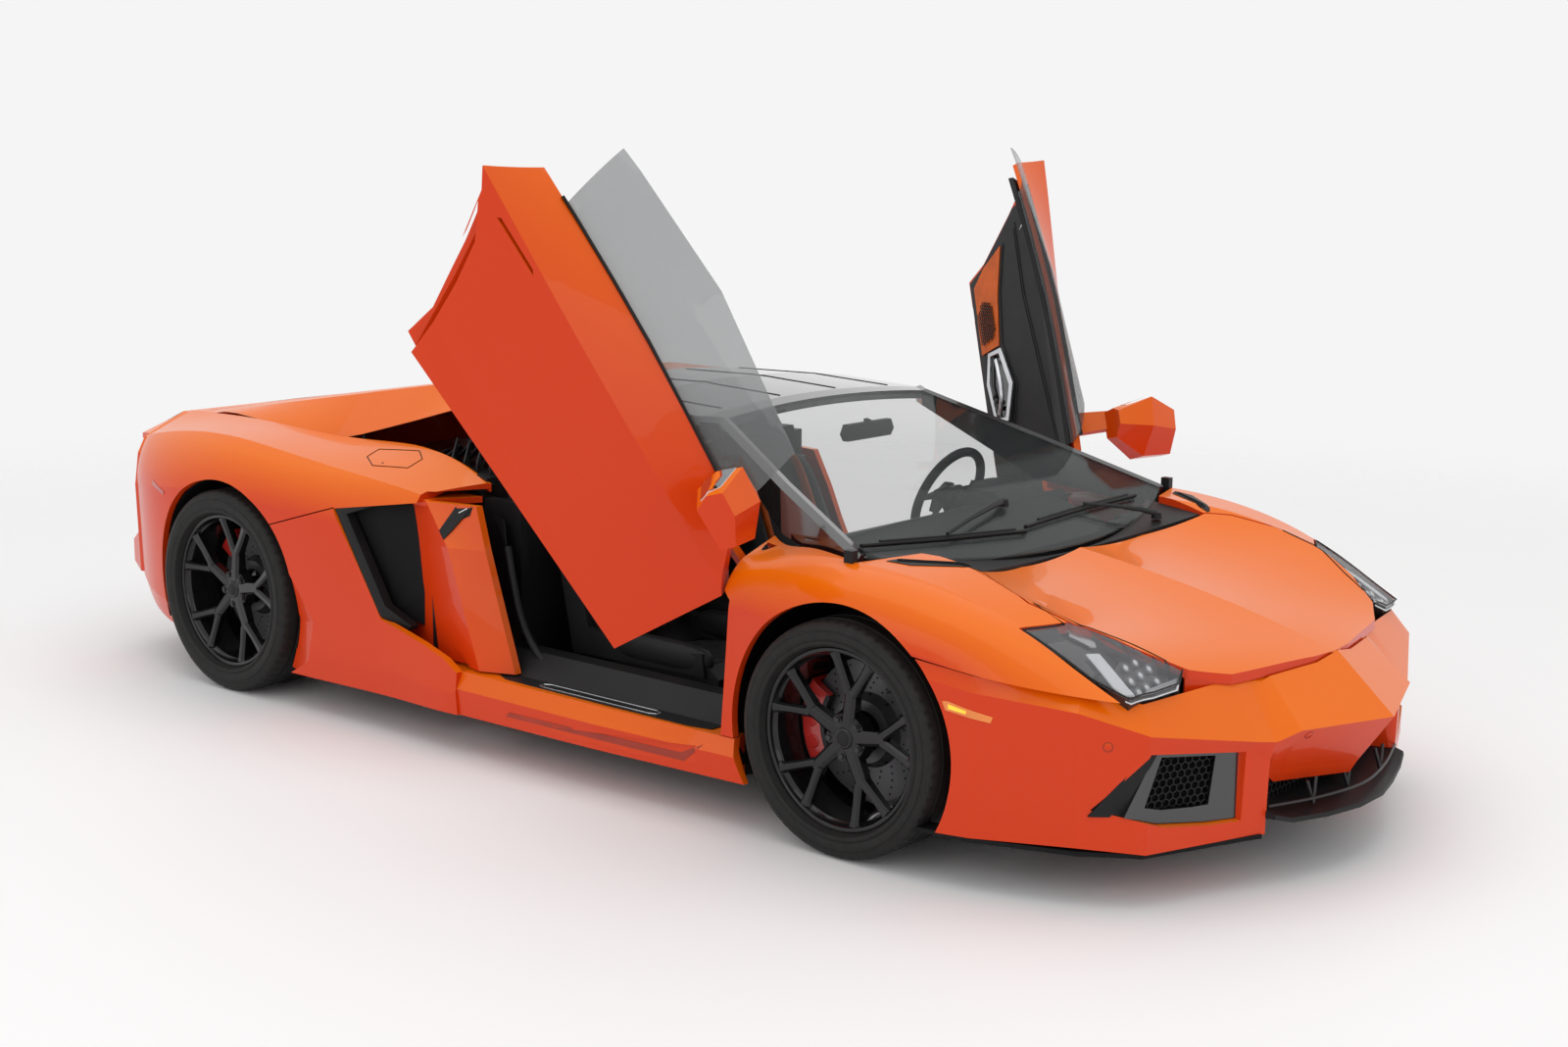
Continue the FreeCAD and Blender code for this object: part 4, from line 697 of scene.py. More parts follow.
def disc_back(axle):
    """How far out of the wheel's middle plane the brake disc starts."""
    return WHEELS[axle][3] - BEAD_INSET - HUB_FACE_INSET - DISC_INSET


def add_disc(axle, side_name, side):
    """A vented disc on its bell, with rows of black dots of painted shade for its drilled holes, and its
    bolts.
    """
    back = disc_back(axle)
    front = back + DISC_WIDTH
    ring = [(back, 106), (back, DISC_RADIUS), (back + 11, DISC_RADIUS), (back + 13, DISC_RADIUS - 6),
            (back + 21, DISC_RADIUS - 6), (back + 23, DISC_RADIUS), (front, DISC_RADIUS), (front, 106)]
    bell = [(front - 4, 106), (front + 3, 100), (front + 30, 88), (front + 32, 60), (front - 4, 60)]
    shape = join_shapes([spun(ring), spun(bell, segments=60)])
    name = "%s_%s" % (axle, side_name)
    add_piece("brake_disc_" + name, *placed(shape, axle, side), "disc", "wheel_" + name, smooth=30)
    hole_shade_dots = []
    # painted shade: each drilled hole is a black dot standing just proud of the disc face, not a hole
    for group in range(18):
        for number in range(5):
            dot = stud(front - 0.5, front + 0.35, 118 + 16.5 * number, 0.0035, 8)
            hole_shade_dots.append(turned(dot, 2 * math.pi * group / 18 + 0.075 * number))
    bolt = stud(front + 1, front + 7, 99, 0.005, 6)
    bolts = [turned(bolt, 2 * math.pi * number / 10) for number in range(10)]
    add_piece("brake_disc_hole_shades_and_bolts_" + name, *placed(join_shapes(hole_shade_dots + bolts), axle, side), "matt black",
              "wheel_" + name)


def arc_block(outline, middle, reach_each_way, steps=12):
    """An arc-shaped block about the axle; its angles run from the top towards the back."""
    sections = []
    for step in range(steps + 1):
        turn = math.radians(middle - reach_each_way + 2 * reach_each_way * step / steps)
        sections.append([Vector((across, reach * math.sin(turn), reach * math.cos(turn))) / 1000
                         for across, reach in outline])
    return rings(sections)


def add_caliper(axle, side_name, side):
    """The red caliper with its piston caps and bolts, and at the back a small one for parking."""
    back = disc_back(axle)
    front = back + DISC_WIDTH
    low = back - 41
    high = front + 31
    outline = [(low, 219), (high - 4, 219), (high + 1, 213), (high + 1, 158), (high - 5, 146),
               (front + 7, 146), (front + 7, 207), (low, 207)]
    middle = 90 if axle == "front" else -90
    shapes = [arc_block(outline, middle, 33)]
    for offset in (-19, 0, 19):
        angle = math.radians(-(middle + offset))
        shapes.append(turned(stud(high - 2, high + 4, 183, [0.021, 0.018], 20), angle))
        shapes.append(turned(stud(low, high - 6, 220.5, 0.005, 8), angle))
    if axle == "rear":
        small = [(low + 10, 219), (high - 8, 219), (high - 4, 214), (high - 4, 160), (front + 7, 152),
                 (front + 7, 207), (low + 10, 207)]
        shapes.append(arc_block(small, 45, 13, 6))
    body = "knuckle_" + side_name if axle == "front" else "body"
    add_piece("brake_caliper_%s_%s" % (axle, side_name), *placed(join_shapes(shapes), axle, side), "caliper",
              body, smooth=30, bevel=0.002)


def add_liner(axle, side_name, side):
    """The black tunnel over a wheel, with room for a steered tyre."""
    across = WHEELS[axle][0]
    # the arch's lip across and its radius, the radius inside it, and how far in the tunnel goes
    lip, opening, room, inner = (930, 380, 408, 474) if axle == "front" else (972, 394, 396, 500)
    edges = ((lip, 0), (lip - 14, 0.3), (lip - 40, 1), (inner, 1))
    steps = 40
    sections = []
    for step in range(steps + 1):
        turn = math.radians(-112 + 224 * step / steps)
        sideways = abs(math.sin(turn)) ** 1.5
        under = [(x - across, opening + (room - opening) * share * sideways) for x, share in edges]
        over = [(x, reach + LINER_WALL) for x, reach in reversed(under)]
        sections.append([Vector((x, reach * math.sin(turn), reach * math.cos(turn))) / 1000
                         for x, reach in under + over])
    add_piece("arch_liner_%s_%s" % (axle, side_name), *placed(rings(sections), axle, side), "matt black",
              "body", smooth=40)


def add_wheels(settings):
    """All four wheels with their brakes and liners."""
    for axle in AXLES:
        for side_name, side in SIDES:
            add_tyre(axle, side_name, side, settings.tread_steps)
            add_rim(axle, side_name, side, settings.spoke_turn)
            add_disc(axle, side_name, side)
            add_caliper(axle, side_name, side)
            add_liner(axle, side_name, side)


# ----------------------------------------------------------------------
# Nose: grilles, splitter, headlamps, sensors, markers
# ----------------------------------------------------------------------
def pair(name, shape, finish, **more):
    """The same piece on both sides of the body, drawn on the left."""
    points, faces = shape
    return [add_piece("%s_%s" % (name, side_name), flipped(points, side), faces, finish, "body", **more)
            for side_name, side in SIDES]


def framed(outer, inner, thickness):
    """A flat frame between two outlines of equally many points."""
    return rings([[out, within, within + thickness, out + thickness] for out, within in zip(outer, inner)],
                 closed_path=True)


def button(surface, point, direction, profile, sides):
    """A round fitting on a surface; its profile lists (height, radius) in millimetres along the normal."""
    place, normal, _, _ = surface.ray_cast(point, direction.normalized())
    if normal.dot(direction) > 0:
        normal = -normal
    return rod([place + normal * height / 1000 for height, _ in profile],
               [radius / 1000 for _, radius in profile], sides)


# the left grille's slanted face: the way in, a place on it (across, behind), and how fast it runs back
MESH_INWARD = Vector((-0.406, 0.914, 0))
MESH_PLACE = (468, -940)
MESH_SLANT = 0.416


def mesh_face(outline):
    """Points of the side grille's slanted face from (across, up)."""
    across, behind = MESH_PLACE
    return [spot(x, behind + (x - across) * MESH_SLANT, z) for x, z in outline]


def add_grilles():
    """The side grilles with their vanes, and the centre slot over the splitter."""
    vane = plate(spots((840, -727, 247), (781, -792, 245), (708, -846, 413), (750, -843, 422)),
                 MESH_INWARD * 0.030)
    sides = pair("nose_vane", vane, "satin black", bevel=0.002)
    outer = [(467, 200), (560, 204), (700, 220), (796, 250), (714, 406), (467, 380)]
    inner = [(552, 250), (600, 250), (690, 256), (738, 268), (694, 394), (536, 378)]
    surround = framed(mesh_face(outer), mesh_face(inner), MESH_INWARD * 0.024)
    pair("nose_grille_surround", surround, "gloss black", bevel=0.0015)
    backing = plate([point + MESH_INWARD * 0.030 for point in mesh_face(outer)], MESH_INWARD * 0.006)
    pair("nose_grille_backing", backing, "matt black")
    combs = hex_mesh(inner, 21, 1.7, 12,
                     lambda x, z, deep: mesh_face([(x, z)])[0] + MESH_INWARD * (8 + deep) / 1000)
    pair("nose_grille_mesh", combs, "satin black")
    blade = []
    # across, front edge, how far the blade rises towards its ends
    for x, front, rise in ((-392, -1016, 26), (-330, -1036, 8), (-200, -1072, 0), (-70, -1102, 0),
                           (70, -1102, 0), (200, -1072, 0), (330, -1036, 8), (392, -1016, 26)):
        blade.append([spot(x, y, z + rise) for y, z in ((front, 166), (front + 3, 178), (front + 30, 186),
                                                        (-872, 206), (-872, 188), (front + 40, 164))])
    splitter = add_piece("nose_splitter", *rings(blade), "satin black", "body", bevel=0.002)
    for piece in [splitter] + sides:
        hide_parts("front_grilles")
    slot_line = ((-372, 208), (372, 208), (372, 296), (-372, 296))
    slot = hex_mesh(slot_line, 24, 2, 10, lambda x, z, deep: spot(x, -930 + deep, z))
    add_piece("nose_slot_mesh", *slot, "satin black", "body")
    add_piece("nose_slot_backing", *block((-386, -912, 196), (386, -906, 300)), "matt black", "body")
    rail = spots((-384, -990, 222), (-200, -1044, 216), (0, -1074, 214), (200, -1044, 216), (384, -990, 222))
    shapes = [rod(curve_through(rail, 6), 0.004, 8, flat=0.6)]
    for x in (-205, 205, 0):
        for lean in (-26, 26):
            shapes.append(rod(spots((x, -1028, 196), (x + lean, -1020, 262)), 0.005, 8))
    add_piece("nose_slot_rail", *join_shapes(shapes), "dark metal", "body", smooth=40)
    lip_out = [(404, -985), (455, -962), (752, -836), (846, -692), (936, -432), (955, -268)]
    lip_in = [(895, -268), (880, -420), (790, -670), (700, -800), (480, -890), (430, -915)]
    pair("nose_underlip", plate(above(*lip_out, *lip_in, height=138), Vector((0, 0, 0.012))), "matt black")


LAMP_OUTLINE = ((558, -818), (612, -838), (700, -819), (776, -796), (804, -700), (820, -500), (694, -566),
                (610, -700))
# what lies under the lamp's cover: name, outline, depth below the skin, thickness, cuts, finish
LAMP_PANELS = (
    ("light_bar", ((738, -640), (708, -660), (738, -786), (764, -768), (764, -736)),
     0.016, 0.004, 4, "lamp white"),
    ("upper_guide", ((716, -572), (700, -568), (668, -612), (690, -640), (704, -628)),
     0.020, 0.004, 3, "lamp silver"),
    ("lower_strip", ((776, -782), (770, -796), (700, -818), (612, -838), (572, -820), (612, -812),
                     (692, -796), (744, -800)), 0.014, 0.004, 3, "lamp silver"),
    ("inner_shelf", ((586, -796), (640, -812), (722, -796), (716, -706), (640, -690), (612, -724)),
     0.034, 0.006, 3, "gloss black"),
    ("rear_shelf", ((722, -690), (806, -676), (812, -520), (726, -566), (690, -600)),
     0.030, 0.006, 3, "gloss black"),
)
LAMP_CUPS = ((640, -722), (676, -716), (622, -752), (660, -750), (698, -746), (634, -784), (676, -780),
             (708, -776))
LAMP_AIM = Vector((0.05, -0.72, 0.62)).normalized()


def lamp_housing(high, skin):
    """The bowl under the lamp's cover, from a rim just below the skin down to a sunk floor."""
    middle = sum(high, Vector()) / len(high)
    rim, low, base = [], [], []
    for index, corner in enumerate(high):
        after = high[(index + 1) % len(high)]
        for share in (0, 0.33, 0.67):
            place = corner.lerp(after, share)
            edge = land(skin, place + (middle - place).normalized() * 0.003, DOWN, -0.006)
            centre = Vector((middle.x, middle.y, edge.z))
            rim.append(edge)
            low.append(edge.lerp(centre, 0.14) + Vector((0, 0, -0.034)))
            base.append(edge.lerp(centre, 0.3) + Vector((0, 0, -0.052)))
    count = len(base)
    points, faces = rings([rim, low, base], capped=False)
    points.append(sum(base, Vector()) / count)
    faces += [(2 * count + step, 2 * count + (step + 1) % count, 3 * count) for step in range(count)]
    return points, faces


def add_headlamps():
    """The clear cover, the dark housing and what shines inside it."""
    skin = surface_of("headlamp_lenses", "bonnet", "front_wings", "front_bumper")
    high = above(*LAMP_OUTLINE)
    for piece in pair("headlamp_cover", draped(high, DOWN, skin, -0.0015, 0.003, 7), "lamp glass", smooth=25):
        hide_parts("headlamp_lenses")
    pair("headlamp_housing", lamp_housing(high, skin), "lamp bowl", smooth=30)
    for name, outline, deep, thickness, cuts, finish in LAMP_PANELS:
        panel = draped(above(*outline), DOWN, skin, -deep, thickness, cuts)
        pair("headlamp_" + name, panel, finish, smooth=30)
    for name, finish, profile, sides, smooth in (
            ("cups", "lamp silver", ((-6, 9), (3, 12.5), (7, 13), (7, 11.5), (3, 8)), 20, 40),
            ("domes", "lamp white", ((2, 9), (5, 9), (8, 6.5), (9.5, 2)), 16, 60)):
        lights = []
        for centre in above(*LAMP_CUPS):
            place = land(skin, centre, DOWN, -0.032)
            lights.append(rod([place + LAMP_AIM * along / 1000 for along, _ in profile],
                              [reach / 1000 for _, reach in profile], sides))
        pair("headlamp_light_" + name, join_shapes(lights), finish, smooth=smooth)
    pair("headlamp_seal", draped_line(high, DOWN, skin, 0.0022, 0.0002, closed=True), "seal", smooth=40)


def add_nose_filler(bumper):
    """The orange wall that closes the step between the bumper and the bonnet's front edge."""
    low_edge = above((0, -966), (100, -956), (300, -910), (425, -882), (500, -846), (546, -820))
    high_edge = low_edge[:-1] + above((530, -822))
    lid = surface_of("bonnet")
    wall = []
    for low, high in zip(low_edge, high_edge):
        foot = land(bumper, low, DOWN, -0.03)
        top = land(lid, high, DOWN, -0.008)
        wall.append([Vector((foot.x, foot.y + deep, z))
                     for deep, z in ((0, foot.z), (0, top.z), (0.004, top.z), (0.004, foot.z))])
    pair("nose_filler", rings(wall), "orange")


def add_nose_fittings():
    """The parking sensors, the side markers and the vents beside the cowl."""
    bumper = surface_of("front_bumper")
    add_nose_filler(bumper)
    sensors = spots((817, -1100, 432), (291, -1400, 405))
    # the ring is a darker orange joint round each sensor's face
    for name, finish, profile in (
            ("ring", "orange joint and painted shade", ((-2, 13.5), (0.6, 13.5), (0.6, 11.4), (-2, 11.4))),
            ("face", "orange", ((-3, 10.6), (0.8, 10.6), (1.4, 9.6)))):
        shape = join_shapes([button(bumper, point, REARWARD, profile, 28) for point in sensors])
        pair("nose_sensor_" + name, shape, finish, smooth=40)
    marker = beside((-350, 505), (-364, 508), (-490, 482), (-484, 466), (-360, 483))
    pair("nose_marker", draped(marker, INWARD, bumper, 0.0025, 0.004, 4), "amber", smooth=30)
    light = beside((-368, 500), (-420, 490), (-420, 482), (-368, 488))
    pair("nose_marker_light", draped(light, INWARD, bumper, 0.0032, 0.002, 2), "amber bright", smooth=30)
    skin = surface_of("front_wings", "cowl", "bonnet")
    vent = above((772, -22), (758, -92), (640, -222), (614, -236), (628, -190), (728, -36))
    pair("cowl_vent", draped(vent, DOWN, skin, 0.0022, 0.004, 5), "satin black", smooth=30)
    ribs = [draped_line(above(*ends), DOWN, skin, 0.0022, 0.003)
            for ends in (((754, -44), (636, -206)), ((744, -38), (630, -196)))]
    pair("cowl_vent_ribs", join_shapes(ribs), "matt black", smooth=40)


def add_wipers():
    """Two wipers parked on the glass: each from its pivot on the cowl to the middle of its blade."""
    glass = surface_of("windscreen", "cowl", "windscreen_frame")
    blades, arms = [], []
    # along each blade from its tip, then the pivot of its arm
    for places in (((-760, 76), (-457, 4), (-140, -52), (-80, -152)),
                   ((-118, -34), (230, -14), (566, 6), (470, -130))):
        *high, pivot = above(*places, height=1400)
        path = [land(glass, point, DOWN, 0.010) for point in high]
        sweep = [land(glass, point + Vector((0, 0, 0.5)), DOWN, 0.009) for point in curve_through(path, 10)]
        blades.append(rod(sweep, 0.0058, 8, flat=1.3))
        blades.append(rod([point + Vector((0, 0.004, 0.008)) for point in sweep[3:-2]], 0.0045, 8))
        foot = land(glass, pivot, DOWN, 0.006)
        hold = sweep[len(sweep) // 2] + Vector((0, 0, 0.016))
        arms.append(rod([foot, foot + Vector((0, 0, 0.02))], [0.017, 0.014], 16))
        arm = [foot + Vector((0, 0, 0.016)), foot.lerp(hold, 0.22) + Vector((0, 0, 0.018)),
               foot.lerp(hold, 0.6) + Vector((0, 0, 0.012)), hold]
        arms.append(rod(arm, [0.012, 0.010, 0.007, 0.006], 8, flat=0.6))
    add_piece("wiper_blades", *join_shapes(blades), "seal", "body", smooth=40)
    add_piece("wiper_arms", *join_shapes(arms), "satin black", "body", smooth=40)


# ----------------------------------------------------------------------
# Doors and cabin
# ----------------------------------------------------------------------
def door_pair(name, shape, finish, **more):
    """A piece on both doors, drawn on the shut left door and stored with the door open."""
    points, faces = shape
    for side_name, side in SIDES:
        add_piece("%s_%s" % (name, side_name), flipped(points, side), faces, finish, "door_" + side_name,
                  place=door_turn(side), **more)


def on_door(name, node, outline, direction, lift, thickness, finish, cuts=4, **more):
    """A panel laid on a part of each door; its outline and direction are those of the shut left door."""
    for side_name, side in SIDES:
        turn = door_turn(side)
        aim = turn.to_3x3() @ Vector((direction.x * side, direction.y, direction.z))
        high = [turn @ point for point in flipped(outline, side)]
        laid = draped(high, aim, surface_of(node + side_name), lift, thickness, cuts)
        add_piece("%s_%s" % (name, side_name), *laid, finish, "door_" + side_name, **more)


def add_door_pull():
    """The insert, and the pull with its frame, dark recess, grip and switches."""
    insert = beside((1136, 450), (1330, 488), (1500, 548), (1474, 430), (1430, 346), (1150, 338), across=600)
    on_door("door_insert", "door_lining_", insert, OUTWARD, 0.004, 0.006, "orange leather", smooth=30)
    outer = beside((822, 458), (950, 512), (1112, 474), (1124, 398), (1010, 366), (850, 384), across=838)
    inner = beside((842, 446), (952, 490), (1096, 458), (1106, 408), (1008, 382), (860, 396), across=838)
    door_pair("door_pull_trim", framed(outer, inner, Vector((-0.012, 0, 0))), "lamp silver", bevel=0.002)
    recess = beside((836, 450), (952, 496), (1102, 462), (1112, 404), (1009, 376), (856, 392), across=600)
    on_door("door_pull_recess", "door_lining_", recess, OUTWARD, 0.003, 0.004, "gloss black", smooth=30)
    grip = spots((832, 870, 410), (820, 930, 452), (818, 1010, 456), (832, 1080, 434))
    door_pair("door_pull_grip", rod(curve_through(grip, 6), 0.0085, 10), "lamp silver", smooth=40)
    knobs = [rod(spots((838, y, z), (829, y, z), (828, y, z)), [0.009, 0.009, 0.006], 16)
             for y, z in ((900, 408), (926, 404), (952, 400))]
    door_pair("door_pull_buttons", join_shapes(knobs), "satin black", smooth=40)
    speaker = hex_mesh([(1180, 352), (1180, 440), (1300, 452), (1350, 400), (1300, 356)], 13, 1.6, 3,
                       lambda y, z, deep: spot(837 + deep, y, z))
    door_pair("door_speaker_mesh", speaker, "satin black")


DOOR_SEAMS = (
    # behind the front axle and up: twice along the belt, and once over the pull and the insert
    ((1540, 652), (1245, 643), (760, 690), (560, 720)),
    ((1520, 640), (1245, 631), (770, 676), (560, 700)),
    ((1500, 566), (1330, 504), (1130, 470), (950, 524), (800, 466), (560, 470)),
)


def add_door_seams():
    """Seams laid on each open door's lining."""
    for side_name, side in SIDES:
        turn = door_turn(side)
        lining = surface_of("door_lining_" + side_name)
        aim = turn.to_3x3() @ Vector((side, 0, 0))
        seams = []
        for path in DOOR_SEAMS:
            line = [turn @ point for point in flipped(beside(*path, across=600), side)]
            seams.append(draped_line(line, aim, lining, 0.0022, 0.001))
        add_piece("door_seams_" + side_name, *join_shapes(seams), "seal", "door_" + side_name, smooth=40)


def add_door_trim():
    """What the doors carry: the pull and its insert, the seams, the seals and the mirror glass."""
    add_door_pull()
    add_door_seams()
    belt = spots((846, 606, 809), (840, 660, 812), (820, 880, 832), (799, 1100, 849), (774, 1300, 853),
                 (749, 1500, 853), (743, 1560, 852))
    door_pair("door_belt_seal", rod(belt, 0.0075, 8, flat=0.7), "seal", smooth=40)
    edge = spots((880, 1290, 300), (880, 1000, 300), (880, 700, 298), (884, 490, 300))
    door_pair("door_lower_seal", rod(edge, 0.008, 8), "seal", smooth=40)
    glass = [spot(x, 1200, z) for x, z in ((952, 872), (1028, 856), (1122, 880), (1134, 918), (1114, 950),
                                           (1028, 974), (962, 930))]
    on_door("door_mirror_glass", "door_mirror_", glass, -REARWARD, 0.0015, 0.004, "mirror", 2)


def pad(start, end, width, thick, channels=0, face=UP):
    """A stuffed pad between two points: crowned, drawn in at its ends, with sewn channels across it."""
    along = (end - start).normalized()
    across = along.cross(face).normalized()
    up = across.cross(along)
    sections = []
    steps, sides = 36, 28
    square = 0.62
    for step in range(steps + 1):
        t = step / steps
        fullness = max(0.06, (1 - abs(2 * t - 1) ** 4) ** 0.42)
        groove = 1 - 0.16 * (1 - abs(math.sin(math.pi * t * channels)) ** 0.35) if channels else 1
        ring = []
        for part in range(sides):
            turn = 2 * math.pi * part / sides
            c, s = math.cos(turn), math.sin(turn)
            ring.append(start.lerp(end, t)
                        + across * math.copysign(abs(c) ** square, c) * width / 2 * fullness
                        + up * math.copysign(abs(s) ** (square + 0.15), s) * thick / 2 * fullness * groove)
        sections.append(ring)
    return rings(sections)


SEAT_FACE = Vector((0, -1, 0.3)).normalized()
SEAT_PADS = (
    # piece, leather, where the pad starts and ends, width and thickness in metres, channels, way it faces
    ("cushion", "black leather", (385, 762, 322), (385, 1190, 274), 0.300, 0.066, 5, UP),
    ("back", "black leather", (385, 1236, 330), (385, 1420, 846), 0.270, 0.080, 6, SEAT_FACE),
    ("headrest", "black leather", (385, 1436, 874), (385, 1462, 962), 0.190, 0.062, 0, SEAT_FACE),
    ("bolster_inner", "black leather", (186, 776, 344), (186, 1216, 346), 0.062, 0.090, 0, UP),
    ("bolster_outer", "black leather", (586, 776, 344), (586, 1216, 346), 0.062, 0.090, 0, UP),
    ("wing_inner", "black leather", (204, 1236, 366), (222, 1424, 800), 0.070, 0.120, 0, SEAT_FACE),
    ("wing_outer", "black leather", (568, 1236, 366), (550, 1424, 800), 0.070, 0.120, 0, SEAT_FACE),
    ("stripe_inner", "orange leather", (247, 1226, 372), (262, 1402, 812), 0.020, 0.094, 0, SEAT_FACE),
    ("stripe_outer", "orange leather", (523, 1226, 372), (508, 1402, 812), 0.020, 0.094, 0, SEAT_FACE),
)


def add_seats():
    """The seats' pads, laid on their shells."""
    for name, finish, start, end, width, thick, channels, face in SEAT_PADS:
        shape = pad(spot(*start), spot(*end), width, thick, channels, face)
        for piece in pair("seat_" + name, shape, finish, smooth=50):
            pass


def add_steering_wheel():
    """The flat-bottomed wheel with its spokes, boss and paddles."""
    place = Matrix.Translation(spot(375, 600, 765)) @ Matrix.Rotation(math.radians(22), 4, "X")
    radius, flat_below = 0.161, -0.140
    path = []
    for step in range(72):
        turn = 2 * math.pi * step / 72
        path.append(place @ Vector((radius * math.cos(turn), 0, max(flat_below, radius * math.sin(turn)))))
    rim = add_piece("steering_rim", *rod(path, 0.0155, 16, closed=True), "black leather", "steering_wheel",
                    smooth=60)
    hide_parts("steering_wheel")
    shapes = []
    for x, z in ((-0.152, 0.012), (0.152, 0.012), (-0.062, -0.138), (0.062, -0.138)):
        ends = [place @ Vector((x * share, deep, z * share))
                for share, deep in ((0.25, 0.006), (0.62, 0.004), (1, 0))]
        shapes.append(rod(ends, [0.022, 0.013, 0.012], 10, flat=0.5))

    def along_column(*distances):
        """Points on the steering column, at distances ahead of the wheel's middle."""
        return [place @ Vector((0, distance, 0)) for distance in distances]

    shapes.append(rod(along_column(0.012, -0.022, -0.040), [0.030, 0.052, 0.044], 24))
    shapes.append(rod(along_column(-0.04, -0.116), 0.0138, 16))
    add_piece("steering_spokes", *join_shapes(shapes), "satin black", "steering_wheel", smooth=40)
    boss = rod(along_column(0.010, 0.020, 0.028, 0.031), [0.046, 0.046, 0.036, 0.012], 6)
    add_piece("steering_boss", *boss, "black leather", "steering_wheel", bevel=0.003)
    paddles = []
    for hand in (-1, 1):
        outline = [place @ Vector((hand * x, -0.026, z))
                   for x, z in ((0.060, -0.05), (0.118, -0.03), (0.132, 0.05), (0.070, 0.06))]
        paddles.append(plate(outline, place.to_3x3() @ Vector((0, 0.005, 0))))
    add_piece("steering_paddles", *join_shapes(paddles), "gloss black", "steering_wheel", bevel=0.001)


def binnacle():
    """The arched hood over the instruments."""
    hood = []
    for step in range(17):
        turn = math.pi * step / 16
        x = 375 - 132 * math.cos(turn)
        rise = 74 * math.sin(turn) ** 0.55
        hood.append(beside((296, 752), (316, 764 + rise * 0.72), (372, 768 + rise), (448, 764 + rise),
                           (452, 756 + rise), (400, 744 + rise * 0.8), (396, 740), across=x))
    return rings(hood)


def air_vents():
    """Three framed vents, each with its slats."""
    shapes = []
    for x in (-480, -150, 150):
        outer, inner = ([spot(x + across, 466, z) for across, z in outline] for outline in (
            ((-62, 700), (-46, 742), (46, 742), (62, 700), (0, 684)),
            ((-46, 704), (-36, 732), (36, 732), (46, 704), (0, 696))))
        shapes.append(framed(outer, inner, Vector((0, 0.012, 0))))
        for height in (706, 714, 722):
            shapes.append(block((x - 44, 462, height), (x + 44, 474, height + 2)))
    return join_shapes(shapes)


def add_dash():
    """The dashboard's binnacle, screens, stitching and vents, and what the tunnel carries."""
    add_piece("dash_binnacle", *binnacle(), "black leather", "body", smooth=50)
    screen = plate(spots((262, 446, 742), (488, 446, 742), (470, 440, 806), (280, 440, 806)),
                   Vector((0, 0.003, 0.001)))
    add_piece("dash_instruments", *screen, "dark glass", "body")
    brow = spots((-520, 292, 785), (-300, 312, 789), (0, 318, 790), (240, 312, 789))
    stitching = [rod(curve_through([point + Vector((0, shift, 0.002)) for point in brow], 8), 0.0016, 6)
                 for shift in (0, 0.012)]
    add_piece("dash_stitching", *join_shapes(stitching), "seal", "body")
    add_piece("dash_vents", *air_vents(), "gloss black", "body", bevel=0.001)
    add_piece("dash_centre_stack", *block((-96, 452, 560), (96, 476, 676)), "dark glass", "body", bevel=0.006)
    controls = [block((-84, 520, 468), (84, 560, 474))]
    controls += [block((x, 600, 446), (x + 34, 634, 462)) for x in (-70, -18, 34)]
    controls.append(block((-60, 690, 438), (60, 800, 444)))
    add_piece("tunnel_controls", *join_shapes(controls), "gloss black", "body", bevel=0.003)
    armrest = add_piece("tunnel_armrest", *pad(spot(0, 860, 424), spot(0, 1180, 392), 0.200, 0.050),
                        "black leather", "body", smooth=50)
    mirror = [spot(x, 664, z) for x, z in ((-118, 1012), (-104, 1036), (104, 1036), (118, 1012), (104, 996),
                                           (-104, 996))]
    add_piece("cabin_mirror_glass", *plate(mirror, Vector((0, 0.002, 0))), "mirror", "body")


def add_openings():
    """The seals, plates and trim round each door opening."""
    tube = spots((772, 1486, 640), (784, 1450, 540), (796, 1404, 430), (804, 1340, 345), (812, 1250, 292),
                 (814, 1100, 279), (814, 620, 279), (810, 520, 292), (798, 456, 400), (782, 446, 560))
    pair("opening_seal", rod(curve_through(tube, 6), 0.0115, 12), "seal", smooth=50)
    jamb = []
    for x, y, z in ((742, 1528, 716), (768, 1490, 640), (782, 1456, 540), (794, 1410, 430), (802, 1346, 345),
                    (806, 1290, 280)):
        front, back = spots((x, y + 4, z), (706, y + 96, z))
        depth = Vector((0, 0.005, 0))
        jamb.append([front, back, back + depth, front + depth])
    pair("rear_jamb_panel", rings(jamb), "satin black")
    sill = above((866, 480), (866, 1420), (900, 1400), (934, 1330), (936, 560), (920, 480), height=262.5)
    pair("sill_plate", plate(sill, Vector((0, 0, 0.003))), "satin black", bevel=0.001)
    inlay = above((884, 730), (884, 1170), (896, 1196), (914, 1196), (922, 1170), (922, 730), (914, 704),
                  (896, 704), height=266)
    pair("sill_inlay", rod(inlay, 0.0016, 6, closed=True), "lamp silver")


# ----------------------------------------------------------------------
# Flanks and tail
# ----------------------------------------------------------------------
# thin things laid on the flanks: name, CAD node, outline (behind, up), lift, thickness, cuts, finish
FLANK_PANELS = (
    ("latch_plate", "rear_wings", ((1556, 780), (1616, 774), (1626, 742), (1604, 722), (1562, 742)),
     0.002, 0.006, 3, "satin black"),
    # painted shade: a flat darker orange sheet where the sill's groove lies in shade
    ("sill_groove_painted_shade", "side_skirts", ((474, 230), (545, 168), (1280, 166), (1262, 182), (560, 190)),
     0.0012, 0.002, 7, "orange joint and painted shade"),
    ("rear_side_marker", "rear_wings", ((3126, 698), (3030, 670), (3030, 656), (3126, 682)),
     0.002, 0.003, 3, "red lens"),
)


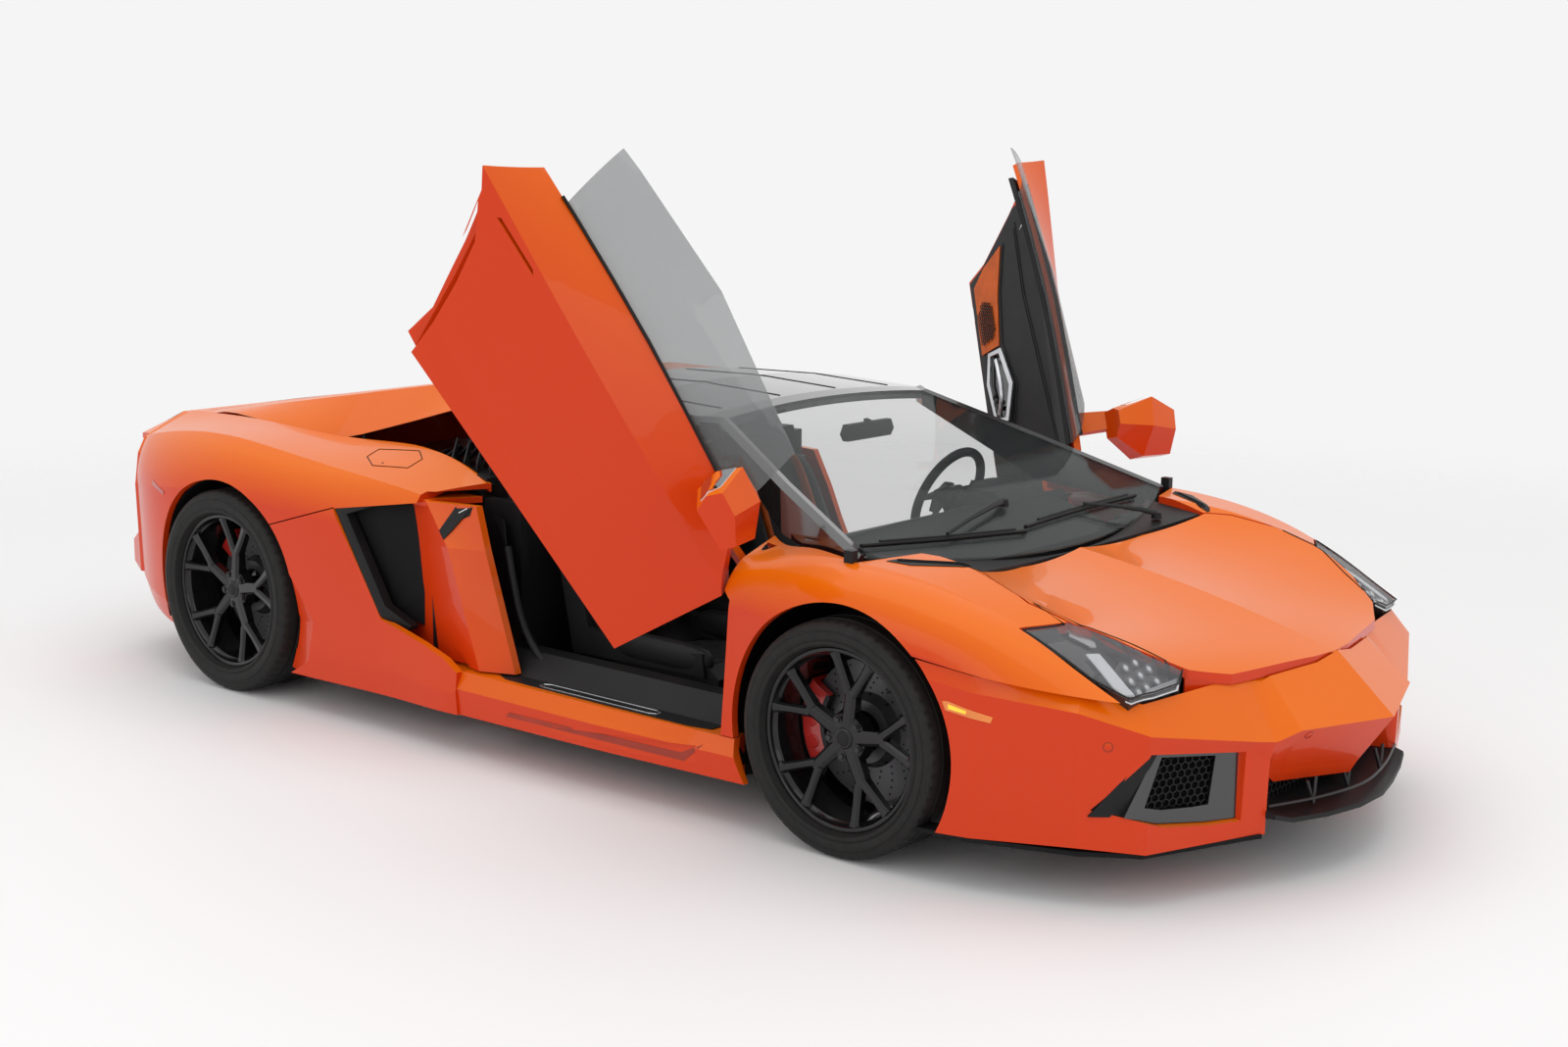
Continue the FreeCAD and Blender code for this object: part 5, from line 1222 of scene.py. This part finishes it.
def add_intakes():
    """The blade along each side intake's rear edge, and the dark lining behind it."""
    blade = []
    # the rear edge and the front edge, from the top round to the foot
    for outer, inner in (((940, 1946, 764), (934, 1900, 750)), ((970, 2102, 716), (962, 2052, 702)),
                         ((974, 1884, 386), (968, 1862, 424)), ((930, 1790, 346), (926, 1784, 362))):
        a, b = spots(outer, inner)
        deep = Vector((-0.034, 0, 0))
        blade.append([a, a.lerp(b, 0.5) + Vector((0.004, 0, 0)), b, b + deep, a + deep])
    pair("intake_blade", rings(blade), "satin black", bevel=0.0015)
    back = spots((905, 1960, 752), (925, 2092, 706), (905, 1890, 392), (850, 1760, 340), (836, 1690, 520),
                 (850, 1780, 744))
    pair("intake_lining", plate(back, Vector((-0.006, 0, 0))), "matt black")


def add_flanks():
    """The side intakes, the door latches, the fuel flap, the painted shade of the sill groove and the rear
    markers.
    """
    add_intakes()
    for name, node, outline, lift, thickness, cuts, finish in FLANK_PANELS:
        panel = draped(beside(*outline), INWARD, surface_of(node), lift, thickness, cuts)
        pair(name, panel, finish, smooth=30)
    striker = draped_line(beside((1574, 764), (1602, 748)), INWARD, surface_of("rear_wings"), 0.002, 0.0022)
    pair("latch_striker", striker, "chrome", smooth=40)
    wings = surface_of("rear_wings", "side_skirts")
    flap = above((716, 2180), (784, 2160), (830, 2076), (794, 1940), (726, 1946), (682, 2012), height=1300)
    seam = draped_line(flap, DOWN, wings, 0.0017, 0.0003, closed=True)
    pair("fuel_flap_seam", seam, "matt black", smooth=40)
    catch = button(wings, spot(800, 2060, 1300), DOWN, [(-1, 4), (0.6, 4), (1, 3)], 12)
    pair("fuel_flap_catch", catch, "satin black", smooth=40)


def add_deck_fins():
    """The dark wells beside the engine cover and their rows of fins."""
    well = spots((470, 1650, 812), (690, 1650, 820), (650, 2000, 828), (630, 2080, 830), (630, 2500, 826),
                 (470, 2500, 806))
    pair("deck_well", plate(well, Vector((0, 0, -0.006))), "matt black")
    fins = []
    for number in range(7):
        y = 1690 + number * 62
        outline = spots((560, y, 990 - number * 22), (640, y + 26, 846), (600, y + 60, 846),
                        (520, y + 40, 940 - number * 18))
        fins.append(plate(outline, Vector((0, 0.008, 0))))
    pair("deck_fins", join_shapes(fins), "satin black", bevel=0.001)


def add_cover_trim():
    """The engine cover's seams and its two rows of louvres."""
    cover = surface_of("engine_cover")
    middle, left = (draped_line(above(*path, height=ROOF_CAST_FROM), DOWN, cover, 0.0016, 0.0002)
                    for path in (((0, 1700), (0, 2150), (0, 2700)),
                                 ((250, 1720), (300, 2150), (330, 2700), (0, 2760))))
    right = (flipped(left[0], -1), left[1])
    add_piece("cover_seams", *join_shapes([middle, left, right]), "matt black", "engine_cover", smooth=40)
    louvres = []
    for side in (1, -1):
        for number in range(5):
            y = 2180 + number * 84
            end = 226 + number * 8
            outline = ((40, y), (end, y + 14), (end + 18, y + 40), (end, y + 58), (40, y + 50))
            high = above(*((side * x, behind) for x, behind in outline), height=ROOF_CAST_FROM)
            louvres.append(draped(high, DOWN, cover, 0.0022, 0.005, 4))
    add_piece("cover_louvres", *join_shapes(louvres), "gloss black", "engine_cover", smooth=30)


def add_deck():
    """What shows from above behind the cabin, and the grooves of the roof panels."""
    add_deck_fins()
    add_cover_trim()
    roof = surface_of("roof_panels")
    grooves = []
    for x in (140, -140, 420, -420):
        line = above((x, 895), (x, 1200), (x, 1560), height=ROOF_CAST_FROM)
        grooves.append(draped_line(line, DOWN, roof, 0.0022, 0.0003))
    add_piece("roof_grooves", *join_shapes(grooves), "satin black", "body", smooth=40)


TAIL_OPENING = [(-782, 640), (-766, 722), (-638, 789), (638, 789), (766, 722), (782, 640), (637, 562),
                (597, 455), (-597, 455), (-637, 562)]
EXHAUST_OUTLINE = [(-130, 350), (-90, 306), (90, 306), (130, 350), (90, 396), (-90, 396)]


def across_tail(outline, behind, centre=0, wide=1.0, tall=1.0):
    """Points at one distance behind from (across, up), scaled from the car's middle and a centre height."""
    return [spot(x * wide, behind, centre + (z - centre) * tall) for x, z in outline]


def add_tail():
    """The tail's mesh and its trim, the lamp guides, the exhaust, the lip's edge and the reflectors."""
    back = plate(across_tail(TAIL_OPENING, 3426), Vector((0, 0.002, 0)))
    add_piece("tail_backing", *back, "matt black", "body")
    mesh = hex_mesh(TAIL_OPENING, 36, 2.6, 10, lambda x, z, deep: spot(x, 3440 - deep, z))
    add_piece("tail_mesh", *mesh, "satin black", "body")
    rim = framed(across_tail(TAIL_OPENING, 3446), across_tail(TAIL_OPENING, 3446, 622, 0.985, 0.96),
                 Vector((0, 0.006, 0)))
    add_piece("tail_opening_trim", *rim, "gloss black", "body", bevel=0.001)
    guides = [rod(across_tail(path, 3444), 0.006, 8, flat=0.7) for path in (
        ((574, 752), (640, 766), (744, 708), (756, 662)), ((668, 688), (680, 642), (668, 606)),
        ((650, 712), (690, 700), (744, 690)))]
    pair("tail_lamp_guides", join_shapes(guides), "red bright", smooth=40)
    outlet = framed(across_tail(EXHAUST_OUTLINE, 3586, 350, 1.05, 1.08),
                    across_tail(EXHAUST_OUTLINE, 3586, 350, 0.90, 0.86), Vector((0, 0.012, 0)))
    add_piece("exhaust_trim", *outlet, "chrome", "body", bevel=0.0015)
    pipes = []
    for x in (-66, -22, 22, 66):
        points, faces = rod(spots((x, 3470, 350), (x, 3570, 350)), 0.026, 20)
        pipes.append((points, faces[:-1]))  # open at the rear
    add_piece("exhaust_pipes", *join_shapes(pipes), "dark metal", "body", smooth=40)
    edge = [spots((x, y, z), (x, y + 8, z + 4), (x, y + 8, z - 6), (x, y, z - 8)) for x, y, z in (
        (-700, 3536, 812), (-560, 3542, 862), (0, 3542, 866), (560, 3542, 862), (700, 3536, 812))]
    add_piece("tail_lip_edge", *rings(edge), "gloss black", "body", bevel=0.001)
    add_piece("high_brake_lamp", *block((-150, 3545, 838), (150, 3549, 850)), "red lens", "body", bevel=0.001)
    outline = ((640, 392), (740, 388), (746, 372), (650, 374))
    reflectors = [plate(across_tail(outline, 3562, wide=side), Vector((0, 0.003, 0))) for side in (1, -1)]
    add_piece("tail_reflectors", *join_shapes(reflectors), "red lens", "body")


# ----------------------------------------------------------------------
# Studio: places in metres
# ----------------------------------------------------------------------
CAMERA_PLACE = Vector((-5.264, -4.682, 1.940))
CAMERA_YAW = math.radians(40.11)
CAMERA_PITCH = math.radians(-10.44)
CAMERA_ROLL = math.radians(0.44)
CAMERA_FIELD = math.radians(40.522)
FLOOR_REACH = 60


def add_camera():
    """The camera, ahead of the car on its right side."""
    data = bpy.data.cameras.new("camera")
    camera = bpy.data.objects.new("camera", data)
    bpy.context.collection.objects.link(camera)
    forward = Vector((math.cos(CAMERA_PITCH) * math.cos(CAMERA_YAW),
                      math.cos(CAMERA_PITCH) * math.sin(CAMERA_YAW), math.sin(CAMERA_PITCH)))
    level = forward.cross(UP).normalized()
    up = level.cross(forward)
    right = level * math.cos(CAMERA_ROLL) + up * math.sin(CAMERA_ROLL)
    top = up * math.cos(CAMERA_ROLL) - level * math.sin(CAMERA_ROLL)
    turn = Matrix((right, top, -forward)).transposed()
    camera.matrix_world = Matrix.Translation(CAMERA_PLACE) @ turn.to_4x4()
    data.sensor_fit = "HORIZONTAL"
    data.angle = CAMERA_FIELD
    data.clip_end = 200
    bpy.context.scene.camera = camera


PANELS = (
    # name, place, target, width, height, power in watts
    ("top light", (0, 0, 6.5), (0, 0, 0), 7, 9, 150),
    ("near side light", (-7, 0.5, 3.2), (0, 0.3, 0.5), 8, 3, 60),
    ("front light", (-1.5, -8, 3.5), (0, -1, 0.5), 6, 3, 50),
)


def add_panel(name, place, target, width, height, power):
    """A soft rectangular light that faces a target."""
    data = bpy.data.lights.new(name, "AREA")
    data.shape = "RECTANGLE"
    data.size = width
    data.size_y = height
    data.energy = power
    data.specular_factor = 0.6
    light = bpy.data.objects.new(name, data)
    bpy.context.collection.objects.link(light)
    light.location = place
    light.rotation_euler = (Vector(target) - Vector(place)).to_track_quat("-Z", "Y").to_euler()


def add_floor(material):
    """A flat floor, wide enough for every view."""
    mesh = bpy.data.meshes.new("floor")
    shape = bmesh.new()
    bmesh.ops.create_grid(shape, x_segments=1, y_segments=1, size=FLOOR_REACH)
    shape.to_mesh(mesh)
    shape.free()
    mesh.materials.append(material)
    floor = bpy.data.objects.new("floor", mesh)
    bpy.context.collection.objects.link(floor)


def add_world(settings):
    """White light from all round, with the backdrop shown to the camera, in reflections and through glass."""
    world = bpy.data.worlds.new("studio")
    world.use_nodes = True
    tree = world.node_tree
    sky = tree.nodes["Background"]
    sky.inputs["Color"].default_value = (1, 1, 1, 1)
    sky.inputs["Strength"].default_value = settings.sky_strength
    backdrop = tree.nodes.new("ShaderNodeBackground")
    backdrop.inputs["Color"].default_value = (*settings.backdrop, 1)
    path = tree.nodes.new("ShaderNodeLightPath")
    shown = path.outputs["Is Camera Ray"]
    for ray in ("Is Glossy Ray", "Is Transmission Ray"):
        either = tree.nodes.new("ShaderNodeMath")
        either.operation = "MAXIMUM"
        tree.links.new(shown, either.inputs[0])
        tree.links.new(path.outputs[ray], either.inputs[1])
        shown = either.outputs["Value"]
    choice = tree.nodes.new("ShaderNodeMixShader")
    tree.links.new(shown, choice.inputs["Fac"])
    tree.links.new(sky.outputs["Background"], choice.inputs[1])
    tree.links.new(backdrop.outputs["Background"], choice.inputs[2])
    tree.links.new(choice.outputs["Shader"], tree.nodes["World Output"].inputs["Surface"])
    bpy.context.scene.world = world


def add_stage(settings):
    """The plain studio: world, floor, lights and camera."""
    bpy.context.scene.view_settings.view_transform = "Standard"
    add_world(settings)
    add_floor(fading_floor("studio floor", settings.floor_colour, settings.fade_start, settings.fade_end))
    for name, place, target, width, height, power in PANELS:
        add_panel(name, place, target, width, height, power * settings.light_scale)
    add_camera()


# ----------------------------------------------------------------------
# Add-on
# ----------------------------------------------------------------------
class CarPaint(bpy.types.PropertyGroup):
    """The body's lacquer"""
    wall_colour: FloatVectorProperty(
        name="Walls", description="Colour of the upright faces", subtype="COLOR", size=3, min=0, max=1,
        default=(0.68, 0.045, 0.004))
    # painted top light: the lighter, yellower colour upward faces get, as if lit from above
    lit_deck_colour: FloatVectorProperty(
        name="Lit decks", description="Colour of the faces that look up", subtype="COLOR", size=3, min=0, max=1,
        default=(0.86, 0.165, 0.001))
    clear_coat: FloatProperty(
        name="Clear coat", description="How strong the gloss of the clear coat is", min=0, max=1,
        default=0.35)


class CarWheels(bpy.types.PropertyGroup):
    """The road wheels"""
    tread_steps: IntProperty(
        name="Tread steps", description="Slices round each tyre; every fourth holds a tread notch",
        min=80, max=480, default=240)
    spoke_turn: FloatProperty(
        name="Spoke angle", description="How far each wheel is turned on its axle", subtype="ANGLE",
        default=math.radians(9))


class CarStudio(bpy.types.PropertyGroup):
    """The floor, the backdrop and the lights"""
    sky_strength: FloatProperty(
        name="Sky", description="Strength of the even light from all round", min=0, default=0.78)
    light_scale: FloatProperty(
        name="Lights", description="Scales the power of the soft lights", min=0, default=0.94)
    backdrop: FloatVectorProperty(
        name="Backdrop", description="Colour seen behind the car", subtype="COLOR", size=3, min=0, max=1,
        default=(0.913, 0.913, 0.913))
    floor_colour: FloatVectorProperty(
        name="Floor", description="Colour of the floor round the car", subtype="COLOR", size=3, min=0, max=1,
        default=(0.93, 0.93, 0.93))
    fade_start: FloatProperty(
        name="Fade start", description="How far out the floor starts to give way to the backdrop",
        unit="LENGTH", min=0, default=3.4)
    fade_end: FloatProperty(
        name="Fade end", description="Where the floor has gone", unit="LENGTH", min=0, default=8.0)


class CAR_OT_materials(bpy.types.Operator):
    """Give every CAD part its finish"""
    bl_idname = "car.materials"
    bl_label = "Materials"

    def execute(self, context):
        FINISHES.update(make_materials(context.scene.car_paint))
        paint_nodes()
        return {"FINISHED"}


class CAR_OT_wheels(bpy.types.Operator):
    """Add the tyres, the forked wheels, the brakes and the arch liners"""
    bl_idname = "car.wheels"
    bl_label = "Wheels"

    def execute(self, context):
        add_wheels(context.scene.car_wheels)
        return {"FINISHED"}


class CAR_OT_nose(bpy.types.Operator):
    """Add the grilles, the splitter, the headlamps, the sensors, the markers and the wipers"""
    bl_idname = "car.nose"
    bl_label = "Nose"

    def execute(self, context):
        add_grilles()
        add_headlamps()
        add_nose_fittings()
        add_wipers()
        return {"FINISHED"}


class CAR_OT_cabin(bpy.types.Operator):
    """Add the door trim, the seats, the steering wheel, the dashboard and the door seals"""
    bl_idname = "car.cabin"
    bl_label = "Doors and cabin"

    def execute(self, context):
        add_door_trim()
        add_seats()
        add_steering_wheel()
        add_dash()
        add_openings()
        return {"FINISHED"}


class CAR_OT_tail(bpy.types.Operator):
    """Add what the flanks, the deck and the tail carry"""
    bl_idname = "car.tail"
    bl_label = "Flanks and tail"

    def execute(self, context):
        add_flanks()
        add_deck()
        add_tail()
        return {"FINISHED"}


class CAR_OT_stage(bpy.types.Operator):
    """Add the floor, the lights and the camera"""
    bl_idname = "car.stage"
    bl_label = "Studio"

    def execute(self, context):
        add_stage(context.scene.car_studio)
        return {"FINISHED"}


class CAR_PT_dressing(bpy.types.Panel):
    """The dressing's settings and its steps"""
    bl_idname = "CAR_PT_dressing"
    bl_label = "Supercar dressing"
    bl_space_type = "VIEW_3D"
    bl_region_type = "UI"
    bl_category = "Car"

    def draw(self, context):
        scene = context.scene
        for name, group in SETTINGS:
            box = self.layout.box()
            box.label(text=group.__doc__)
            for key in group.__annotations__:
                box.prop(getattr(scene, name), key)
        column = self.layout.column()
        for operator in STEPS:
            column.operator(operator.bl_idname)


SETTINGS = (("car_paint", CarPaint), ("car_wheels", CarWheels), ("car_studio", CarStudio))
STEPS = (CAR_OT_materials, CAR_OT_wheels, CAR_OT_nose, CAR_OT_cabin, CAR_OT_tail, CAR_OT_stage)
CLASSES = (CarPaint, CarWheels, CarStudio, *STEPS, CAR_PT_dressing)


def register():
    """Makes the settings, the steps and the panel known."""
    for cls in CLASSES:
        bpy.utils.register_class(cls)
    for name, group in SETTINGS:
        setattr(bpy.types.Scene, name, PointerProperty(type=group))


def unregister():
    """Takes back what register did."""
    for name, _ in SETTINGS:
        delattr(bpy.types.Scene, name)
    for cls in reversed(CLASSES):
        bpy.utils.unregister_class(cls)


def main():
    """Dresses the car step by step."""
    register()
    bpy.ops.car.materials()
    bpy.ops.car.wheels()
    bpy.ops.car.nose()
    bpy.ops.car.cabin()
    bpy.ops.car.tail()
    bpy.ops.car.stage()


if __name__ == "__main__":
    main()
